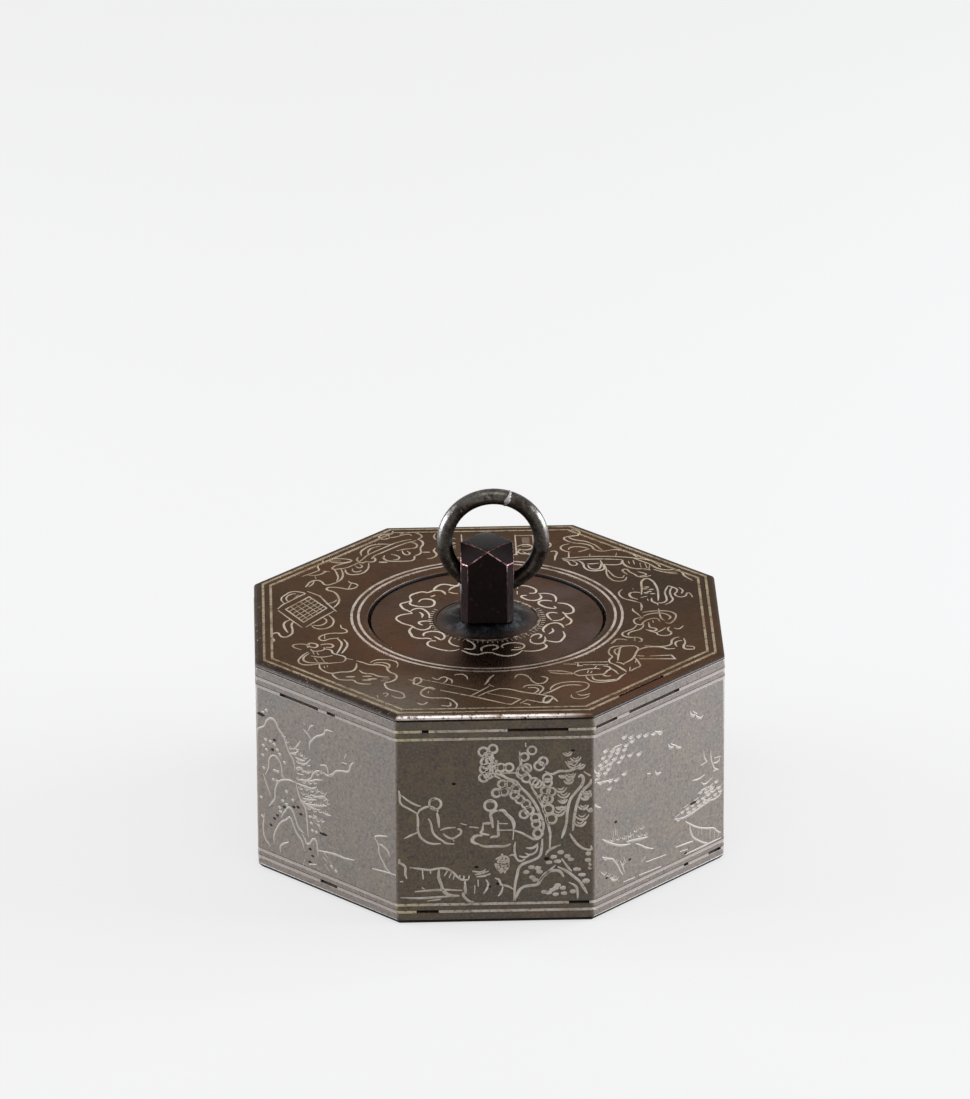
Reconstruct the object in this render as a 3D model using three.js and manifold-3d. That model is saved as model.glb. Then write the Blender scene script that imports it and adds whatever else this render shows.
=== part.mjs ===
// Small octagonal bronze box with silver wire inlay.
// A round lid drops into the mouth of the top plate. A square post is riveted through the lid,
// and a wire ring runs through the post as the handle.
// Millimetres, +Z up, origin at the middle of the underside. Face 0 looks along -Y, and the
// faces are counted counter-clockwise from above.

import * as THREE from 'three';
import { mergeVertices } from 'three/addons/utils/BufferGeometryUtils.js';
import Module from 'manifold-3d';

const wasm = await Module();
wasm.setup();

// Driving dimensions of the body
const faceCount = 8;
const acrossFlats = 54;
const cornerRadius = 0.6;
const leastCornerRadius = 0.05;
const baseThickness = 0.7;
const baseBevel = 0.5;
const wallHeight = 24.8;
const wallThickness = 1.4;
const topThickness = 0.7;
const topNoseWidth = 0.7;
const topNoseHeight = 0.42;
const topUnderBevel = 0.18;

// Driving dimensions of the mouth, which lies a little behind the middle, and of its seat
const mouthOffset = 0.7;
const mouthRadius = 13.9;
const mouthBevelWidth = 0.45;
const mouthBevelHeight = 0.2;
const seatFlangeWidth = 3.6;
const seatLedgeWidth = 1.2;
const seatLedgeThickness = 0.75;

// Driving dimensions of the lid
const lidRecess = 0.45;
const lidThickness = 1.1;
const lidPlay = 0.2;
const lidEdgeBevel = 0.25;
const bossHeight = 0.8;
const bossSpread = 2.3;
const bossShoulder = 0.1;
const sleeveThickness = 0.9;
const sleeveHeight = 3.4;
const sleeveLeadIn = 0.3;

// Driving dimensions of the post and its rivet
const postWidth = 6.15;
const postHeight = 9;
const postEdgeBevel = 0.8;
const headCutDepth = 1.7;
const headDome = 0.2;
const footCutDepth = 2;
const footFlatWidth = 3.1;
const tenonRadius = 1.7;
const tenonPlay = 0.05;
const washerRadius = 3.8;
const washerThickness = 0.8;
const rivetRadius = 2.7;
const rivetHeight = 0.7;
const rivetFaceRadius = 1.6;
const rivetFaceDrop = 0.14;

// Driving dimensions of the ring and its hole
const ringMeanRadius = 5.6;
const ringWireRadius = 0.93;
const ringOffset = 0.75;
const ringDrop = 0.6;
const ringJointAngle = 73;
const ringJointGap = 0.12;
const holeHeight = 4.1;
const holeRadius = 1.6;
const holeFlareRadius = 2.4;
const holeFlareDepth = 0.85;

// Driving dimensions of the silver wire and its grooves
const wireWidth = 0.3;
const wireDepth = 0.3;
const wireProud = 0.04;
const groovePlay = 0.03;
const topWireOuterInset = 1.05;
const topWireInnerInset = 1.95;
const mouthWireInnerGap = 1.05;
const mouthWireOuterGap = 1.85;
const lidWireGap = 0.076;

// Distance of each wire on the walls from the nearer edge of the wall, from the top one down
const wallWire1FromTop = 1.2;
const wallWire2FromTop = 2.2;
const wallWire3FromBottom = 1.8;
const wallWire4FromBottom = 0.9;

// Stretches where the wire has fallen out: face number, then from and to as shares of its width
const lostFromWall = [
  [[0, 0.13, 0.165], [0, 0.565, 0.875], [1, 0.02, 0.18], [1, 0.27, 0.65]],
  [[7, 0.175, 0.45], [7, 0.51, 0.57]],
  [[0, 0.875, 0.98]],
  [[0, 0.095, 0.21], [1, 0.69, 0.725], [1, 0.88, 0.975], [7, 0.45, 0.57]],
];
const lostFromTop = [[1, 0.24, 0.58]];

// Fineness of the round forms
const turnedSteps = 60;
const cornerSteps = 3;
const noseSteps = 3;
const bossSteps = 4;
const domeSteps = 6;
const ringSteps = 64;
const ringSectionSteps = 7;
const weldDistance = 1e-4;

// Sizes that follow from the driving ones
const faceTurn = 2 * Math.PI / faceCount;
const bodyApothem = acrossFlats / 2;
const faceWidth = 2 * bodyApothem * Math.tan(faceTurn / 2);
const wallTop = baseThickness + wallHeight;
const topSurface = wallTop + topThickness;
const lidSurface = topSurface - lidRecess;
const lidUnderside = lidSurface - lidThickness;
const lidRadius = mouthRadius - lidPlay;
const ledgeRadius = mouthRadius - seatLedgeWidth;
const postFoot = lidSurface + bossHeight;
const postTop = postFoot + postHeight;
const holeAxisHeight = postFoot + holeHeight;
const ringCentreHeight = holeAxisHeight - ringDrop + ringMeanRadius;
const grooveHalfWidth = wireWidth / 2 + groovePlay;
const grooveDepth = wireDepth + groovePlay;
const bossRadius = Math.hypot(postWidth / 2, footFlatWidth / 2) + bossShoulder;
const lidWireRadius = bossRadius + bossSpread + lidWireGap + grooveHalfWidth;
const cutMargin = 1;

// Materials
const bronze = { color: 0x5f4d3f, roughness: 0.42, metalness: 0.85 };
const innerBronze = { color: 0x4a3b30, roughness: 0.6, metalness: 0.8 };
const blackBronze = { color: 0x2b211c, roughness: 0.38, metalness: 0.85 };
const silver = { color: 0xc9bfa9, roughness: 0.35, metalness: 1 };

// Joining and cutting

function toSolid(geometry) {
  const plain = geometry.index ? geometry.toNonIndexed() : geometry.clone();
  plain.deleteAttribute('normal');
  plain.deleteAttribute('uv');
  const merged = mergeVertices(plain, weldDistance);
  const corners = merged.index.array;
  const kept = [];
  for (let i = 0; i < corners.length; i += 3) {
    const [a, b, c] = [corners[i], corners[i + 1], corners[i + 2]];
    if (a !== b && b !== c && c !== a) kept.push(a, b, c);
  }
  return new wasm.Manifold(new wasm.Mesh({
    numProp: 3,
    vertProperties: new Float32Array(merged.attributes.position.array),
    triVerts: new Uint32Array(kept),
  }));
}

function toGeometry(solid) {
  const mesh = solid.getMesh();
  const geometry = new THREE.BufferGeometry();
  geometry.setAttribute('position', new THREE.BufferAttribute(mesh.vertProperties, 3));
  geometry.setIndex(new THREE.BufferAttribute(mesh.triVerts, 1));
  geometry.computeVertexNormals();
  return geometry;
}

function cut(body, ...tools) {
  return tools.reduce((left, tool) => left.subtract(tool), body);
}

// Forms

// Profile points are [radius, height] pairs, counter-clockwise round the section.
function turned(profile) {
  const points = profile.map(([radius, height]) => new THREE.Vector2(radius, height));
  points.push(points[0].clone());
  return new THREE.LatheGeometry(points, turnedSteps).rotateX(Math.PI / 2);
}

function turnedRing(innerRadius, outerRadius, low, high) {
  return turned([[innerRadius, low], [outerRadius, low], [outerRadius, high], [innerRadius, high]]);
}

function turnedPlug(radius, low, high) {
  return new THREE.CylinderGeometry(radius, radius, high - low, turnedSteps)
    .rotateX(Math.PI / 2)
    .translate(0, 0, (low + high) / 2);
}

// Moves what is built round the origin's axis to the axis of the mouth
function onMouthAxis(geometry) {
  return geometry.translate(0, mouthOffset, 0);
}

// A point on a face's line, with share 0 at its left end and 1 at its right end from outside
function facePoint(face, apothem, share) {
  const angle = face * faceTurn - Math.PI / 2;
  const along = (share - 0.5) * faceWidth;
  return new THREE.Vector2(
    apothem * Math.cos(angle) - along * Math.sin(angle),
    apothem * Math.sin(angle) + along * Math.cos(angle),
  );
}

// The rounded corner at the right end of a face, kept parallel to the body's own corner
function cornerPoints(face, apothem) {
  const radius = Math.max(cornerRadius - (bodyApothem - apothem), leastCornerRadius);
  const middle = (face + 0.5) * faceTurn - Math.PI / 2;
  const reach = (apothem - radius) / Math.cos(faceTurn / 2);
  const points = [];
  for (let step = 0; step <= cornerSteps; step += 1) {
    const angle = middle + (step / cornerSteps - 0.5) * faceTurn;
    points.push(new THREE.Vector2(
      reach * Math.cos(middle) + radius * Math.cos(angle),
      reach * Math.sin(middle) + radius * Math.sin(angle),
    ));
  }
  return points;
}

function octagon(apothem) {
  const points = [];
  for (let face = 0; face < faceCount; face += 1) points.push(...cornerPoints(face, apothem));
  return points;
}

// A closed solid through octagons given as [apothem, height] pairs, from the lowest up
function octagonLoft(sections) {
  const positions = [];
  const rings = sections.map(([apothem, height]) => (
    octagon(apothem).map((point) => [point.x, point.y, height])
  ));
  const count = rings[0].length;
  const [bottom, top] = [rings[0], rings[rings.length - 1]];
  const bottomCentre = [0, 0, bottom[0][2]];
  const topCentre = [0, 0, top[0][2]];
  for (let i = 0; i < count; i += 1) {
    const next = (i + 1) % count;
    positions.push(...bottomCentre, ...bottom[next], ...bottom[i]);
    positions.push(...topCentre, ...top[i], ...top[next]);
    for (let level = 0; level + 1 < rings.length; level += 1) {
      const [low, high] = [rings[level], rings[level + 1]];
      positions.push(...low[i], ...low[next], ...high[next]);
      positions.push(...low[i], ...high[next], ...high[i]);
    }
  }
  const geometry = new THREE.BufferGeometry();
  geometry.setAttribute('position', new THREE.Float32BufferAttribute(positions, 3));
  return geometry;
}

function octagonBand(innerApothem, outerApothem, low, high) {
  const shape = new THREE.Shape(octagon(outerApothem));
  shape.holes.push(new THREE.Path(octagon(innerApothem)));
  return new THREE.ExtrudeGeometry(shape, { depth: high - low, bevelEnabled: false })
    .translate(0, 0, low);
}

// Part of an octagon band, from one place on the faces round to another
function octagonStretch(innerApothem, outerApothem, low, high, from, to) {
  const line = (apothem) => {
    const points = [facePoint(from.face, apothem, from.share)];
    const lastFace = to.face + (to.face > from.face || to.share > from.share ? 0 : faceCount);
    for (let face = from.face; face < lastFace; face += 1) {
      points.push(...cornerPoints(face % faceCount, apothem));
    }
    points.push(facePoint(to.face, apothem, to.share));
    return points;
  };
  const shape = new THREE.Shape([...line(outerApothem), ...line(innerApothem).reverse()]);
  return new THREE.ExtrudeGeometry(shape, { depth: high - low, bevelEnabled: false })
    .translate(0, 0, low);
}

// The body

function basePlate() {
  return toGeometry(toSolid(octagonLoft([
    [bodyApothem - baseBevel, 0],
    [bodyApothem, baseBevel],
    [bodyApothem, baseThickness],
  ])));
}

const wallWireHeights = [
  wallTop - wallWire1FromTop,
  wallTop - wallWire2FromTop,
  baseThickness + wallWire3FromBottom,
  baseThickness + wallWire4FromBottom,
];

function wallBand() {
  const grooves = wallWireHeights.map((height) => toSolid(octagonBand(
    bodyApothem - grooveDepth,
    bodyApothem + cutMargin,
    height - grooveHalfWidth,
    height + grooveHalfWidth,
  )));
  const outside = toSolid(octagonLoft([[bodyApothem, baseThickness], [bodyApothem, wallTop]]));
  const insideApothem = bodyApothem - wallThickness;
  const inside = toSolid(octagonLoft([
    [insideApothem, baseThickness - cutMargin],
    [insideApothem, wallTop + cutMargin],
  ]));
  return toGeometry(cut(outside, inside, ...grooves));
}

// The rounded edge of the top plate, a quarter of an ellipse from the side up to the surface
function noseSections() {
  const sections = [];
  for (let step = 0; step <= noseSteps; step += 1) {
    const angle = (step / noseSteps) * Math.PI / 2;
    sections.push([
      bodyApothem - topNoseWidth * (1 - Math.cos(angle)),
      topSurface - topNoseHeight * (1 - Math.sin(angle)),
    ]);
  }
  return sections;
}

function topPlate() {
  const blank = toSolid(octagonLoft([
    [bodyApothem - topUnderBevel, wallTop],
    [bodyApothem, wallTop + topUnderBevel],
    ...noseSections(),
  ]));
  const mouth = toSolid(onMouthAxis(turned([
    [0, wallTop - cutMargin],
    [mouthRadius, wallTop - cutMargin],
    [mouthRadius, topSurface - mouthBevelHeight],
    [mouthRadius + mouthBevelWidth, topSurface],
    [mouthRadius + mouthBevelWidth, topSurface + cutMargin],
    [0, topSurface + cutMargin],
  ])));
  const grooveFloor = topSurface - grooveDepth;
  const borders = [topWireOuterInset, topWireInnerInset].map((inset) => toSolid(octagonBand(
    bodyApothem - inset - grooveHalfWidth,
    bodyApothem - inset + grooveHalfWidth,
    grooveFloor,
    topSurface + cutMargin,
  )));
  const circles = [mouthWireInnerGap, mouthWireOuterGap].map((gap) => toSolid(onMouthAxis(turnedRing(
    mouthRadius + gap - grooveHalfWidth,
    mouthRadius + gap + grooveHalfWidth,
    grooveFloor,
    topSurface + cutMargin,
  ))));
  return toGeometry(cut(blank, mouth, ...borders, ...circles));
}

// A turned ring under the top plate, rebated for the lid
function lidSeatRing() {
  const low = lidUnderside - seatLedgeThickness;
  return turned([
    [ledgeRadius, low],
    [mouthRadius + seatFlangeWidth, low],
    [mouthRadius + seatFlangeWidth, wallTop],
    [mouthRadius, wallTop],
    [mouthRadius, lidUnderside],
    [ledgeRadius, lidUnderside],
  ]);
}

// The lid, with a low boss that swells up to the foot of the post
function lidDisc() {
  const boss = [];
  for (let step = 0; step <= bossSteps; step += 1) {
    const share = step / bossSteps;
    const rise = (1 - Math.cos(Math.PI * share)) / 2;
    boss.push([bossRadius + bossSpread * (1 - share), lidSurface + bossHeight * rise]);
  }
  const grooveFloor = lidSurface - grooveDepth;
  const boreRadius = tenonRadius + tenonPlay;
  return turned([
    [boreRadius, lidUnderside],
    [lidRadius, lidUnderside],
    [lidRadius, lidSurface - lidEdgeBevel],
    [lidRadius - lidEdgeBevel, lidSurface],
    [lidWireRadius + grooveHalfWidth, lidSurface],
    [lidWireRadius + grooveHalfWidth, grooveFloor],
    [lidWireRadius - grooveHalfWidth, grooveFloor],
    [lidWireRadius - grooveHalfWidth, lidSurface],
    ...boss,
    [boreRadius, postFoot],
  ]);
}

// The guide under the lid that keeps it centred in the seat ring
function lidSleeve() {
  const outerRadius = ledgeRadius - lidPlay;
  const low = lidUnderside - sleeveHeight;
  return turned([
    [outerRadius - sleeveThickness, low],
    [outerRadius - sleeveLeadIn, low],
    [outerRadius, low + sleeveLeadIn],
    [outerRadius, lidUnderside],
    [outerRadius - sleeveThickness, lidUnderside],
  ]);
}

// A four-sided spike over the post, turned so that its sides cut the post's corners
function cornerCutter(apothemAtStart, start, slope, length) {
  const far = apothemAtStart - slope * length;
  const reach = 1 / Math.cos(Math.PI / 4);
  const height = Math.abs(length);
  const [topReach, bottomReach] = length > 0
    ? [far * reach, apothemAtStart * reach]
    : [apothemAtStart * reach, far * reach];
  return toSolid(new THREE.CylinderGeometry(topReach, bottomReach, height, 4)
    .rotateX(Math.PI / 2)
    .translate(0, 0, start + length / 2));
}

// The post: bevelled edges, corners cut at head and foot, domed top, flared hole along X,
// and a tenon with its riveted head under the lid
function knobPost() {
  const half = postWidth / 2;
  const flat = half - postEdgeBevel;
  const section = new THREE.Shape([
    [half, -flat], [half, flat], [flat, half], [-flat, half],
    [-half, flat], [-half, -flat], [-flat, -half], [flat, -half],
  ].map(([x, y]) => new THREE.Vector2(x, y)));
  const shaftHeight = postHeight + headDome;
  const shaft = toSolid(new THREE.ExtrudeGeometry(section, { depth: shaftHeight, bevelEnabled: false })
    .translate(0, 0, postFoot));

  const cornerReach = (half + flat) / Math.SQRT2;
  const headReach = half / Math.SQRT2;
  const footReach = (half + footFlatWidth / 2) / Math.SQRT2;
  const headSlope = (cornerReach - headReach) / headCutDepth;
  const footSlope = (cornerReach - footReach) / footCutDepth;
  const headStart = postTop - postHeight / 2;
  const headCutter = cornerCutter(
    headReach + headSlope * (postTop - headStart), headStart, headSlope, postHeight / 2 + headDome,
  );
  const footCutter = cornerCutter(
    footReach + footSlope * postHeight / 2, postFoot + postHeight / 2, footSlope, -postHeight / 2,
  );
  const domeRadius = (half * half + headDome * headDome) / (2 * headDome);
  const domeLine = [];
  for (let step = 0; step <= domeSteps; step += 1) {
    const radius = postWidth * (1 - step / domeSteps);
    const drop = domeRadius - Math.sqrt(domeRadius * domeRadius - radius * radius);
    domeLine.push([radius, postTop + headDome - drop]);
  }
  const dome = toSolid(turned([[0, postFoot], [postWidth, postFoot], ...domeLine]));
  const lower = shaft.intersect(footCutter);
  const upper = shaft.intersect(headCutter).intersect(dome);
  const flare = new THREE.CylinderGeometry(holeFlareRadius, holeRadius, holeFlareDepth, turnedSteps / 2);
  const hole = new THREE.CylinderGeometry(holeRadius, holeRadius, postWidth, turnedSteps / 2);
  const alongX = (geometry, x) => toSolid(geometry.rotateZ(-Math.PI / 2).translate(x, 0, holeAxisHeight));
  const flareCentre = half - holeFlareDepth / 2;
  const bore = alongX(hole, 0)
    .add(alongX(flare.clone(), flareCentre))
    .add(alongX(flare.clone().rotateZ(Math.PI), -flareCentre));

  const washerUnderside = lidUnderside - washerThickness;
  const tenon = toSolid(turnedPlug(tenonRadius, washerUnderside - rivetHeight / 2, postFoot + cutMargin));
  const rivet = toSolid(turned([
    [0, washerUnderside - rivetHeight],
    [rivetFaceRadius, washerUnderside - rivetHeight + rivetFaceDrop],
    [rivetRadius, washerUnderside],
    [0, washerUnderside],
  ]));
  return toGeometry(cut(lower.add(upper), bore).add(tenon).add(rivet));
}

function tenonWasher() {
  return turnedRing(
    tenonRadius + tenonPlay, washerRadius, lidUnderside - washerThickness, lidUnderside,
  );
}

// The ring is a bent wire whose ends meet at a butt joint.
class BentWire extends THREE.Curve {
  getPoint(share) {
    const gap = ringJointGap / ringMeanRadius;
    const start = THREE.MathUtils.degToRad(ringJointAngle) + gap / 2;
    const angle = start + share * (2 * Math.PI - gap);
    return new THREE.Vector3(
      ringOffset + ringMeanRadius * Math.cos(angle),
      0,
      ringCentreHeight + ringMeanRadius * Math.sin(angle),
    );
  }
}

function pullRing() {
  const section = new THREE.Shape().absarc(0, 0, ringWireRadius, 0, 2 * Math.PI);
  return new THREE.ExtrudeGeometry(section, {
    steps: ringSteps,
    curveSegments: ringSectionSteps,
    extrudePath: new BentWire(),
    bevelEnabled: false,
  });
}

// The silver wire

// The stretches left on a loop between the lost ones, going round from face 0
function keptStretches(lost) {
  const ordered = [...lost].sort((a, b) => a[0] + a[1] - b[0] - b[1]);
  return ordered.map(([face, , to], index) => {
    const next = ordered[(index + 1) % ordered.length];
    return { from: { face, share: to }, to: { face: next[0], share: next[1] } };
  });
}

function octagonWires(name, inner, outer, low, high, lost) {
  if (lost.length === 0) return [[name, octagonBand(inner, outer, low, high)]];
  return keptStretches(lost).map(({ from, to }, index) => [
    lost.length === 1 ? name : `${name}_stretch_${index + 1}`,
    octagonStretch(inner, outer, low, high, from, to),
  ]);
}

function wallWires() {
  return wallWireHeights.flatMap((height, index) => octagonWires(
    `wall_wire_${index + 1}`,
    bodyApothem - wireDepth,
    bodyApothem + wireProud,
    height - wireWidth / 2,
    height + wireWidth / 2,
    lostFromWall[index],
  ));
}

function topWire(name, inset, lost) {
  return octagonWires(
    name,
    bodyApothem - inset - wireWidth / 2,
    bodyApothem - inset + wireWidth / 2,
    topSurface - wireDepth,
    topSurface + wireProud,
    lost,
  );
}

function roundWire(radius, surface) {
  return turnedRing(
    radius - wireWidth / 2, radius + wireWidth / 2, surface - wireDepth, surface + wireProud,
  );
}

// The assembly

function piece(name, geometry, look) {
  const mesh = new THREE.Mesh(geometry, new THREE.MeshStandardMaterial(look));
  mesh.name = name;
  return mesh;
}

const box = new THREE.Group();
box.add(
  piece('base_plate', basePlate(), bronze),
  piece('wall_band', wallBand(), bronze),
  piece('top_plate', topPlate(), bronze),
  piece('lid_seat_ring', onMouthAxis(lidSeatRing()), innerBronze),
);
const boxWires = [
  ...wallWires(),
  ...topWire('top_wire_outer', topWireOuterInset, lostFromTop),
  ...topWire('top_wire_inner', topWireInnerInset, []),
  ['mouth_wire_inner', onMouthAxis(roundWire(mouthRadius + mouthWireInnerGap, topSurface))],
  ['mouth_wire_outer', onMouthAxis(roundWire(mouthRadius + mouthWireOuterGap, topSurface))],
];
for (const [name, geometry] of boxWires) box.add(piece(name, geometry, silver));

const lid = new THREE.Group();
lid.add(
  piece('lid_disc', onMouthAxis(lidDisc()), bronze),
  piece('lid_sleeve', onMouthAxis(lidSleeve()), innerBronze),
  piece('lid_wire', onMouthAxis(roundWire(lidWireRadius, lidSurface)), silver),
  piece('knob_post', onMouthAxis(knobPost()), blackBronze),
  piece('tenon_washer', onMouthAxis(tenonWasher()), innerBronze),
);

const ring = new THREE.Group();
ring.add(piece('pull_ring', onMouthAxis(pullRing()), blackBronze));
lid.add(ring);

const group = new THREE.Group();
group.add(box, lid);

export default group;
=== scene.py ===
# %% [markdown]
# # A bronze box inlaid with silver wire
#
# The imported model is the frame: its walls, plates, lid, post and ring are already at their real
# size. This script finishes their surfaces, draws the fine silver pictures into the metal, and
# lights the box as for a catalogue photograph.

import math
import random

import bpy
from mathutils import Matrix, Vector


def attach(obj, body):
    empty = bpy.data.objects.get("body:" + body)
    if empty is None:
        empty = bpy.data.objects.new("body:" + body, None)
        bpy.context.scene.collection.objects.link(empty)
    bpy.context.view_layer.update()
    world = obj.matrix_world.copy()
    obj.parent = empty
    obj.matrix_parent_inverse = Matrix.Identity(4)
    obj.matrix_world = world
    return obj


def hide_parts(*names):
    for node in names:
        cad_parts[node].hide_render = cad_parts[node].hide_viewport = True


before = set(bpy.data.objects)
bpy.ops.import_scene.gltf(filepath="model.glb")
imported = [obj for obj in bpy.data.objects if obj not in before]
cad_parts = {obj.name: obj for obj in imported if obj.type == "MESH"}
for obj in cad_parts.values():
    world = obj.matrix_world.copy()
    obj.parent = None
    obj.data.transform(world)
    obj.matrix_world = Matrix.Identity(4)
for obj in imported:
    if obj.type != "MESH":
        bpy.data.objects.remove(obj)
bpy.ops.object.select_all(action="DESELECT")
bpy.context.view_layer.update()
MM = 0.001

# %% [markdown]
# ## The camera
#
# The photograph was taken with a long lens from in front of the box and about 24 degrees above
# it. The angles and the distance were found by fitting the corners of the octagon. A lens of
# 290 mm from a metre away keeps the near and far sides almost the same width, as they are there.

# %% The camera
CAMERA_ELEVATION = math.radians(23.74)
CAMERA_AZIMUTH = math.radians(-1.64)
CAMERA_ROLL = math.radians(-0.34)
CAMERA_DISTANCE = 1037.3 * MM
CAMERA_RIGHT = -0.39 * MM
CAMERA_UP = 31.92 * MM
LENS = 289.7


def add_camera():
    data = bpy.data.cameras.new("camera")
    data.sensor_width = 36
    data.lens = LENS
    data.clip_start = 0.05
    data.clip_end = 20
    camera = bpy.data.objects.new("camera", data)
    bpy.context.collection.objects.link(camera)
    back = Vector((
        math.sin(CAMERA_AZIMUTH) * math.cos(CAMERA_ELEVATION),
        -math.cos(CAMERA_AZIMUTH) * math.cos(CAMERA_ELEVATION),
        math.sin(CAMERA_ELEVATION),
    ))
    level = Vector((0, 0, 1)).cross(back).normalized()
    upright = back.cross(level)
    right = level * math.cos(CAMERA_ROLL) + upright * math.sin(CAMERA_ROLL)
    up = upright * math.cos(CAMERA_ROLL) - level * math.sin(CAMERA_ROLL)
    turn = Matrix((right, up, back)).transposed().to_4x4()
    place = back * CAMERA_DISTANCE + right * CAMERA_RIGHT + up * CAMERA_UP
    camera.matrix_world = Matrix.Translation(place) @ turn
    bpy.context.scene.camera = camera
    return camera


camera = add_camera()
print("camera at", [round(v, 3) for v in camera.location])

# %% [markdown]
# ## Shared surface effects
#
# Old bronze is never one flat colour. Three effects are built once as node groups and used in
# every metal with their own values: cloudy patches, fine lines from filing and handling, and small
# black pits. The patches are mostly tarnish, but on the dark edge of the top they lay painted
# glints. All of them read Object coordinates, scaled to millimetres.

# %% Helpers for node groups


def new_group(name, inputs, outputs):
    """An empty shader group with float inputs and outputs, and its two end nodes."""
    group = bpy.data.node_groups.new(name, "ShaderNodeTree")
    for label, value in inputs.items():
        socket = group.interface.new_socket(label, in_out="INPUT", socket_type="NodeSocketFloat")
        socket.default_value = value
    for label in outputs:
        group.interface.new_socket(label, in_out="OUTPUT", socket_type="NodeSocketFloat")
    return group, group.nodes.new("NodeGroupInput"), group.nodes.new("NodeGroupOutput")


def add(tree, kind, **values):
    """A node with its properties and unlinked sockets set by name."""
    node = tree.nodes.new(kind)
    for key, value in values.items():
        label = key.replace("_", " ")
        if hasattr(node, key):
            setattr(node, key, value)
        else:
            node.inputs[label].default_value = value
    return node


def in_millimetres(tree):
    coordinates = tree.nodes.new("ShaderNodeTexCoord")
    scaled = add(tree, "ShaderNodeVectorMath", operation="SCALE")
    scaled.inputs["Scale"].default_value = 1 / MM
    tree.links.new(coordinates.outputs["Object"], scaled.inputs[0])
    return scaled.outputs[0]


def one_over(tree, value):
    divide = add(tree, "ShaderNodeMath", operation="DIVIDE")
    divide.inputs[0].default_value = 1
    tree.links.new(value, divide.inputs[1])
    return divide.outputs[0]


def ramp(tree, value, low, high, first=0, last=1):
    """Turns a value between low and high into one between first and last.

    Each end is a number or a socket.
    """
    node = add(tree, "ShaderNodeMapRange")
    tree.links.new(value, node.inputs["Value"])
    ends = {"From Min": low, "From Max": high, "To Min": first, "To Max": last}
    for label, end in ends.items():
        if isinstance(end, bpy.types.NodeSocket):
            tree.links.new(end, node.inputs[label])
        else:
            node.inputs[label].default_value = end
    return node.outputs[0]


# %% Clouds, scratches and pits


def make_clouds():
    group, inputs, outputs = new_group(
        "clouds of tarnish and glints", {"Size": 6.0, "From": 0.4, "To": 0.65}, ["Mask"],
    )
    cloud = add(group, "ShaderNodeTexNoise", Detail=6.0, Roughness=0.62)
    group.links.new(in_millimetres(group), cloud.inputs["Vector"])
    group.links.new(one_over(group, inputs.outputs["Size"]), cloud.inputs["Scale"])
    mask = ramp(group, cloud.outputs["Fac"], inputs.outputs["From"], inputs.outputs["To"])
    group.links.new(mask, outputs.inputs["Mask"])
    return group


def make_scratches():
    group, inputs, outputs = new_group(
        "fine scratches", {"Along X": 1.0, "Along Y": 1.0, "Along Z": 1.0}, ["Height"],
    )
    stretch = add(group, "ShaderNodeCombineXYZ")
    product = add(group, "ShaderNodeVectorMath", operation="MULTIPLY")
    lines = add(group, "ShaderNodeTexNoise", Scale=1.0, Detail=4.0, Roughness=0.7)
    for axis in "XYZ":
        group.links.new(inputs.outputs[f"Along {axis}"], stretch.inputs[axis])
    group.links.new(in_millimetres(group), product.inputs[0])
    group.links.new(stretch.outputs[0], product.inputs[1])
    group.links.new(product.outputs[0], lines.inputs["Vector"])
    group.links.new(lines.outputs["Fac"], outputs.inputs["Height"])
    return group


def make_pits():
    group, inputs, outputs = new_group("black pits", {"Spacing": 3.0, "Radius": 0.05}, ["Mask"])
    cells = add(group, "ShaderNodeTexVoronoi")
    group.links.new(in_millimetres(group), cells.inputs["Vector"])
    group.links.new(one_over(group, inputs.outputs["Spacing"]), cells.inputs["Scale"])
    mask = ramp(group, cells.outputs["Distance"], 0, inputs.outputs["Radius"], 1, 0)
    group.links.new(mask, outputs.inputs["Mask"])
    return group


CLOUDS = make_clouds()
SCRATCHES = make_scratches()
PITS = make_pits()
print("node groups:", [group.name for group in bpy.data.node_groups])

# %% [markdown]
# ## Metals
#
# Each bronze is a brown metal with darker tones and stains laid over it in clouds, darkened in its
# pits and roughened by scratches. A layer may also be laid by place: across the box along one
# axis, beside its middle plane, around an upright axis, or as dust around one. Some of these are
# painted light and shade, not stains: a pale painted sheen at the front left of the top, a reddish
# painted highlight at its front right, and the painted glint and shade in the mouth. Others only
# make the top lighter at the front and darker at the right, and the lid lighter towards the right.
#
# The walls and their silver have a grey oxide skin, which a coat stands for: it gives the neutral
# sheen of the faces that look towards the lamps. On the side walls the bronze is also painted
# greyer, a painted sheen, and the silver and wires are painted darker, a painted shade. The top is
# a clean brown metal without a skin, so it mirrors the post. The silver is yellowed on the top,
# bright on the lid, pale on the walls.

# %% Masks by place


def use_group(tree, group, **values):
    node = tree.nodes.new("ShaderNodeGroup")
    node.node_tree = group
    for label, value in values.items():
        node.inputs[label.replace("_", " ")].default_value = value
    return node


def mix_colour(tree, factor, first, second):
    """Mixes two colours, each a tuple or a socket, by a mask."""
    mix = tree.nodes.new("ShaderNodeMix")
    mix.data_type = "RGBA"
    tree.links.new(factor, mix.inputs["Factor"])
    for label, colour in (("A", first), ("B", second)):
        socket = next(s for s in mix.inputs if s.name == label and s.type == "RGBA")
        if isinstance(colour, tuple):
            socket.default_value = (*colour, 1)
        else:
            tree.links.new(colour, socket)
    return next(s for s in mix.outputs if s.type == "RGBA")


def coordinate(tree, axis):
    """Where a point of the surface lies along one axis, in mm."""
    split = tree.nodes.new("ShaderNodeSeparateXYZ")
    tree.links.new(in_millimetres(tree), split.inputs[0])
    return split.outputs[axis]


def across(tree, axis, low, high):
    """A mask that runs from 0 to 1 between two places in mm along one axis."""
    return ramp(tree, coordinate(tree, axis), low, high)


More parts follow.
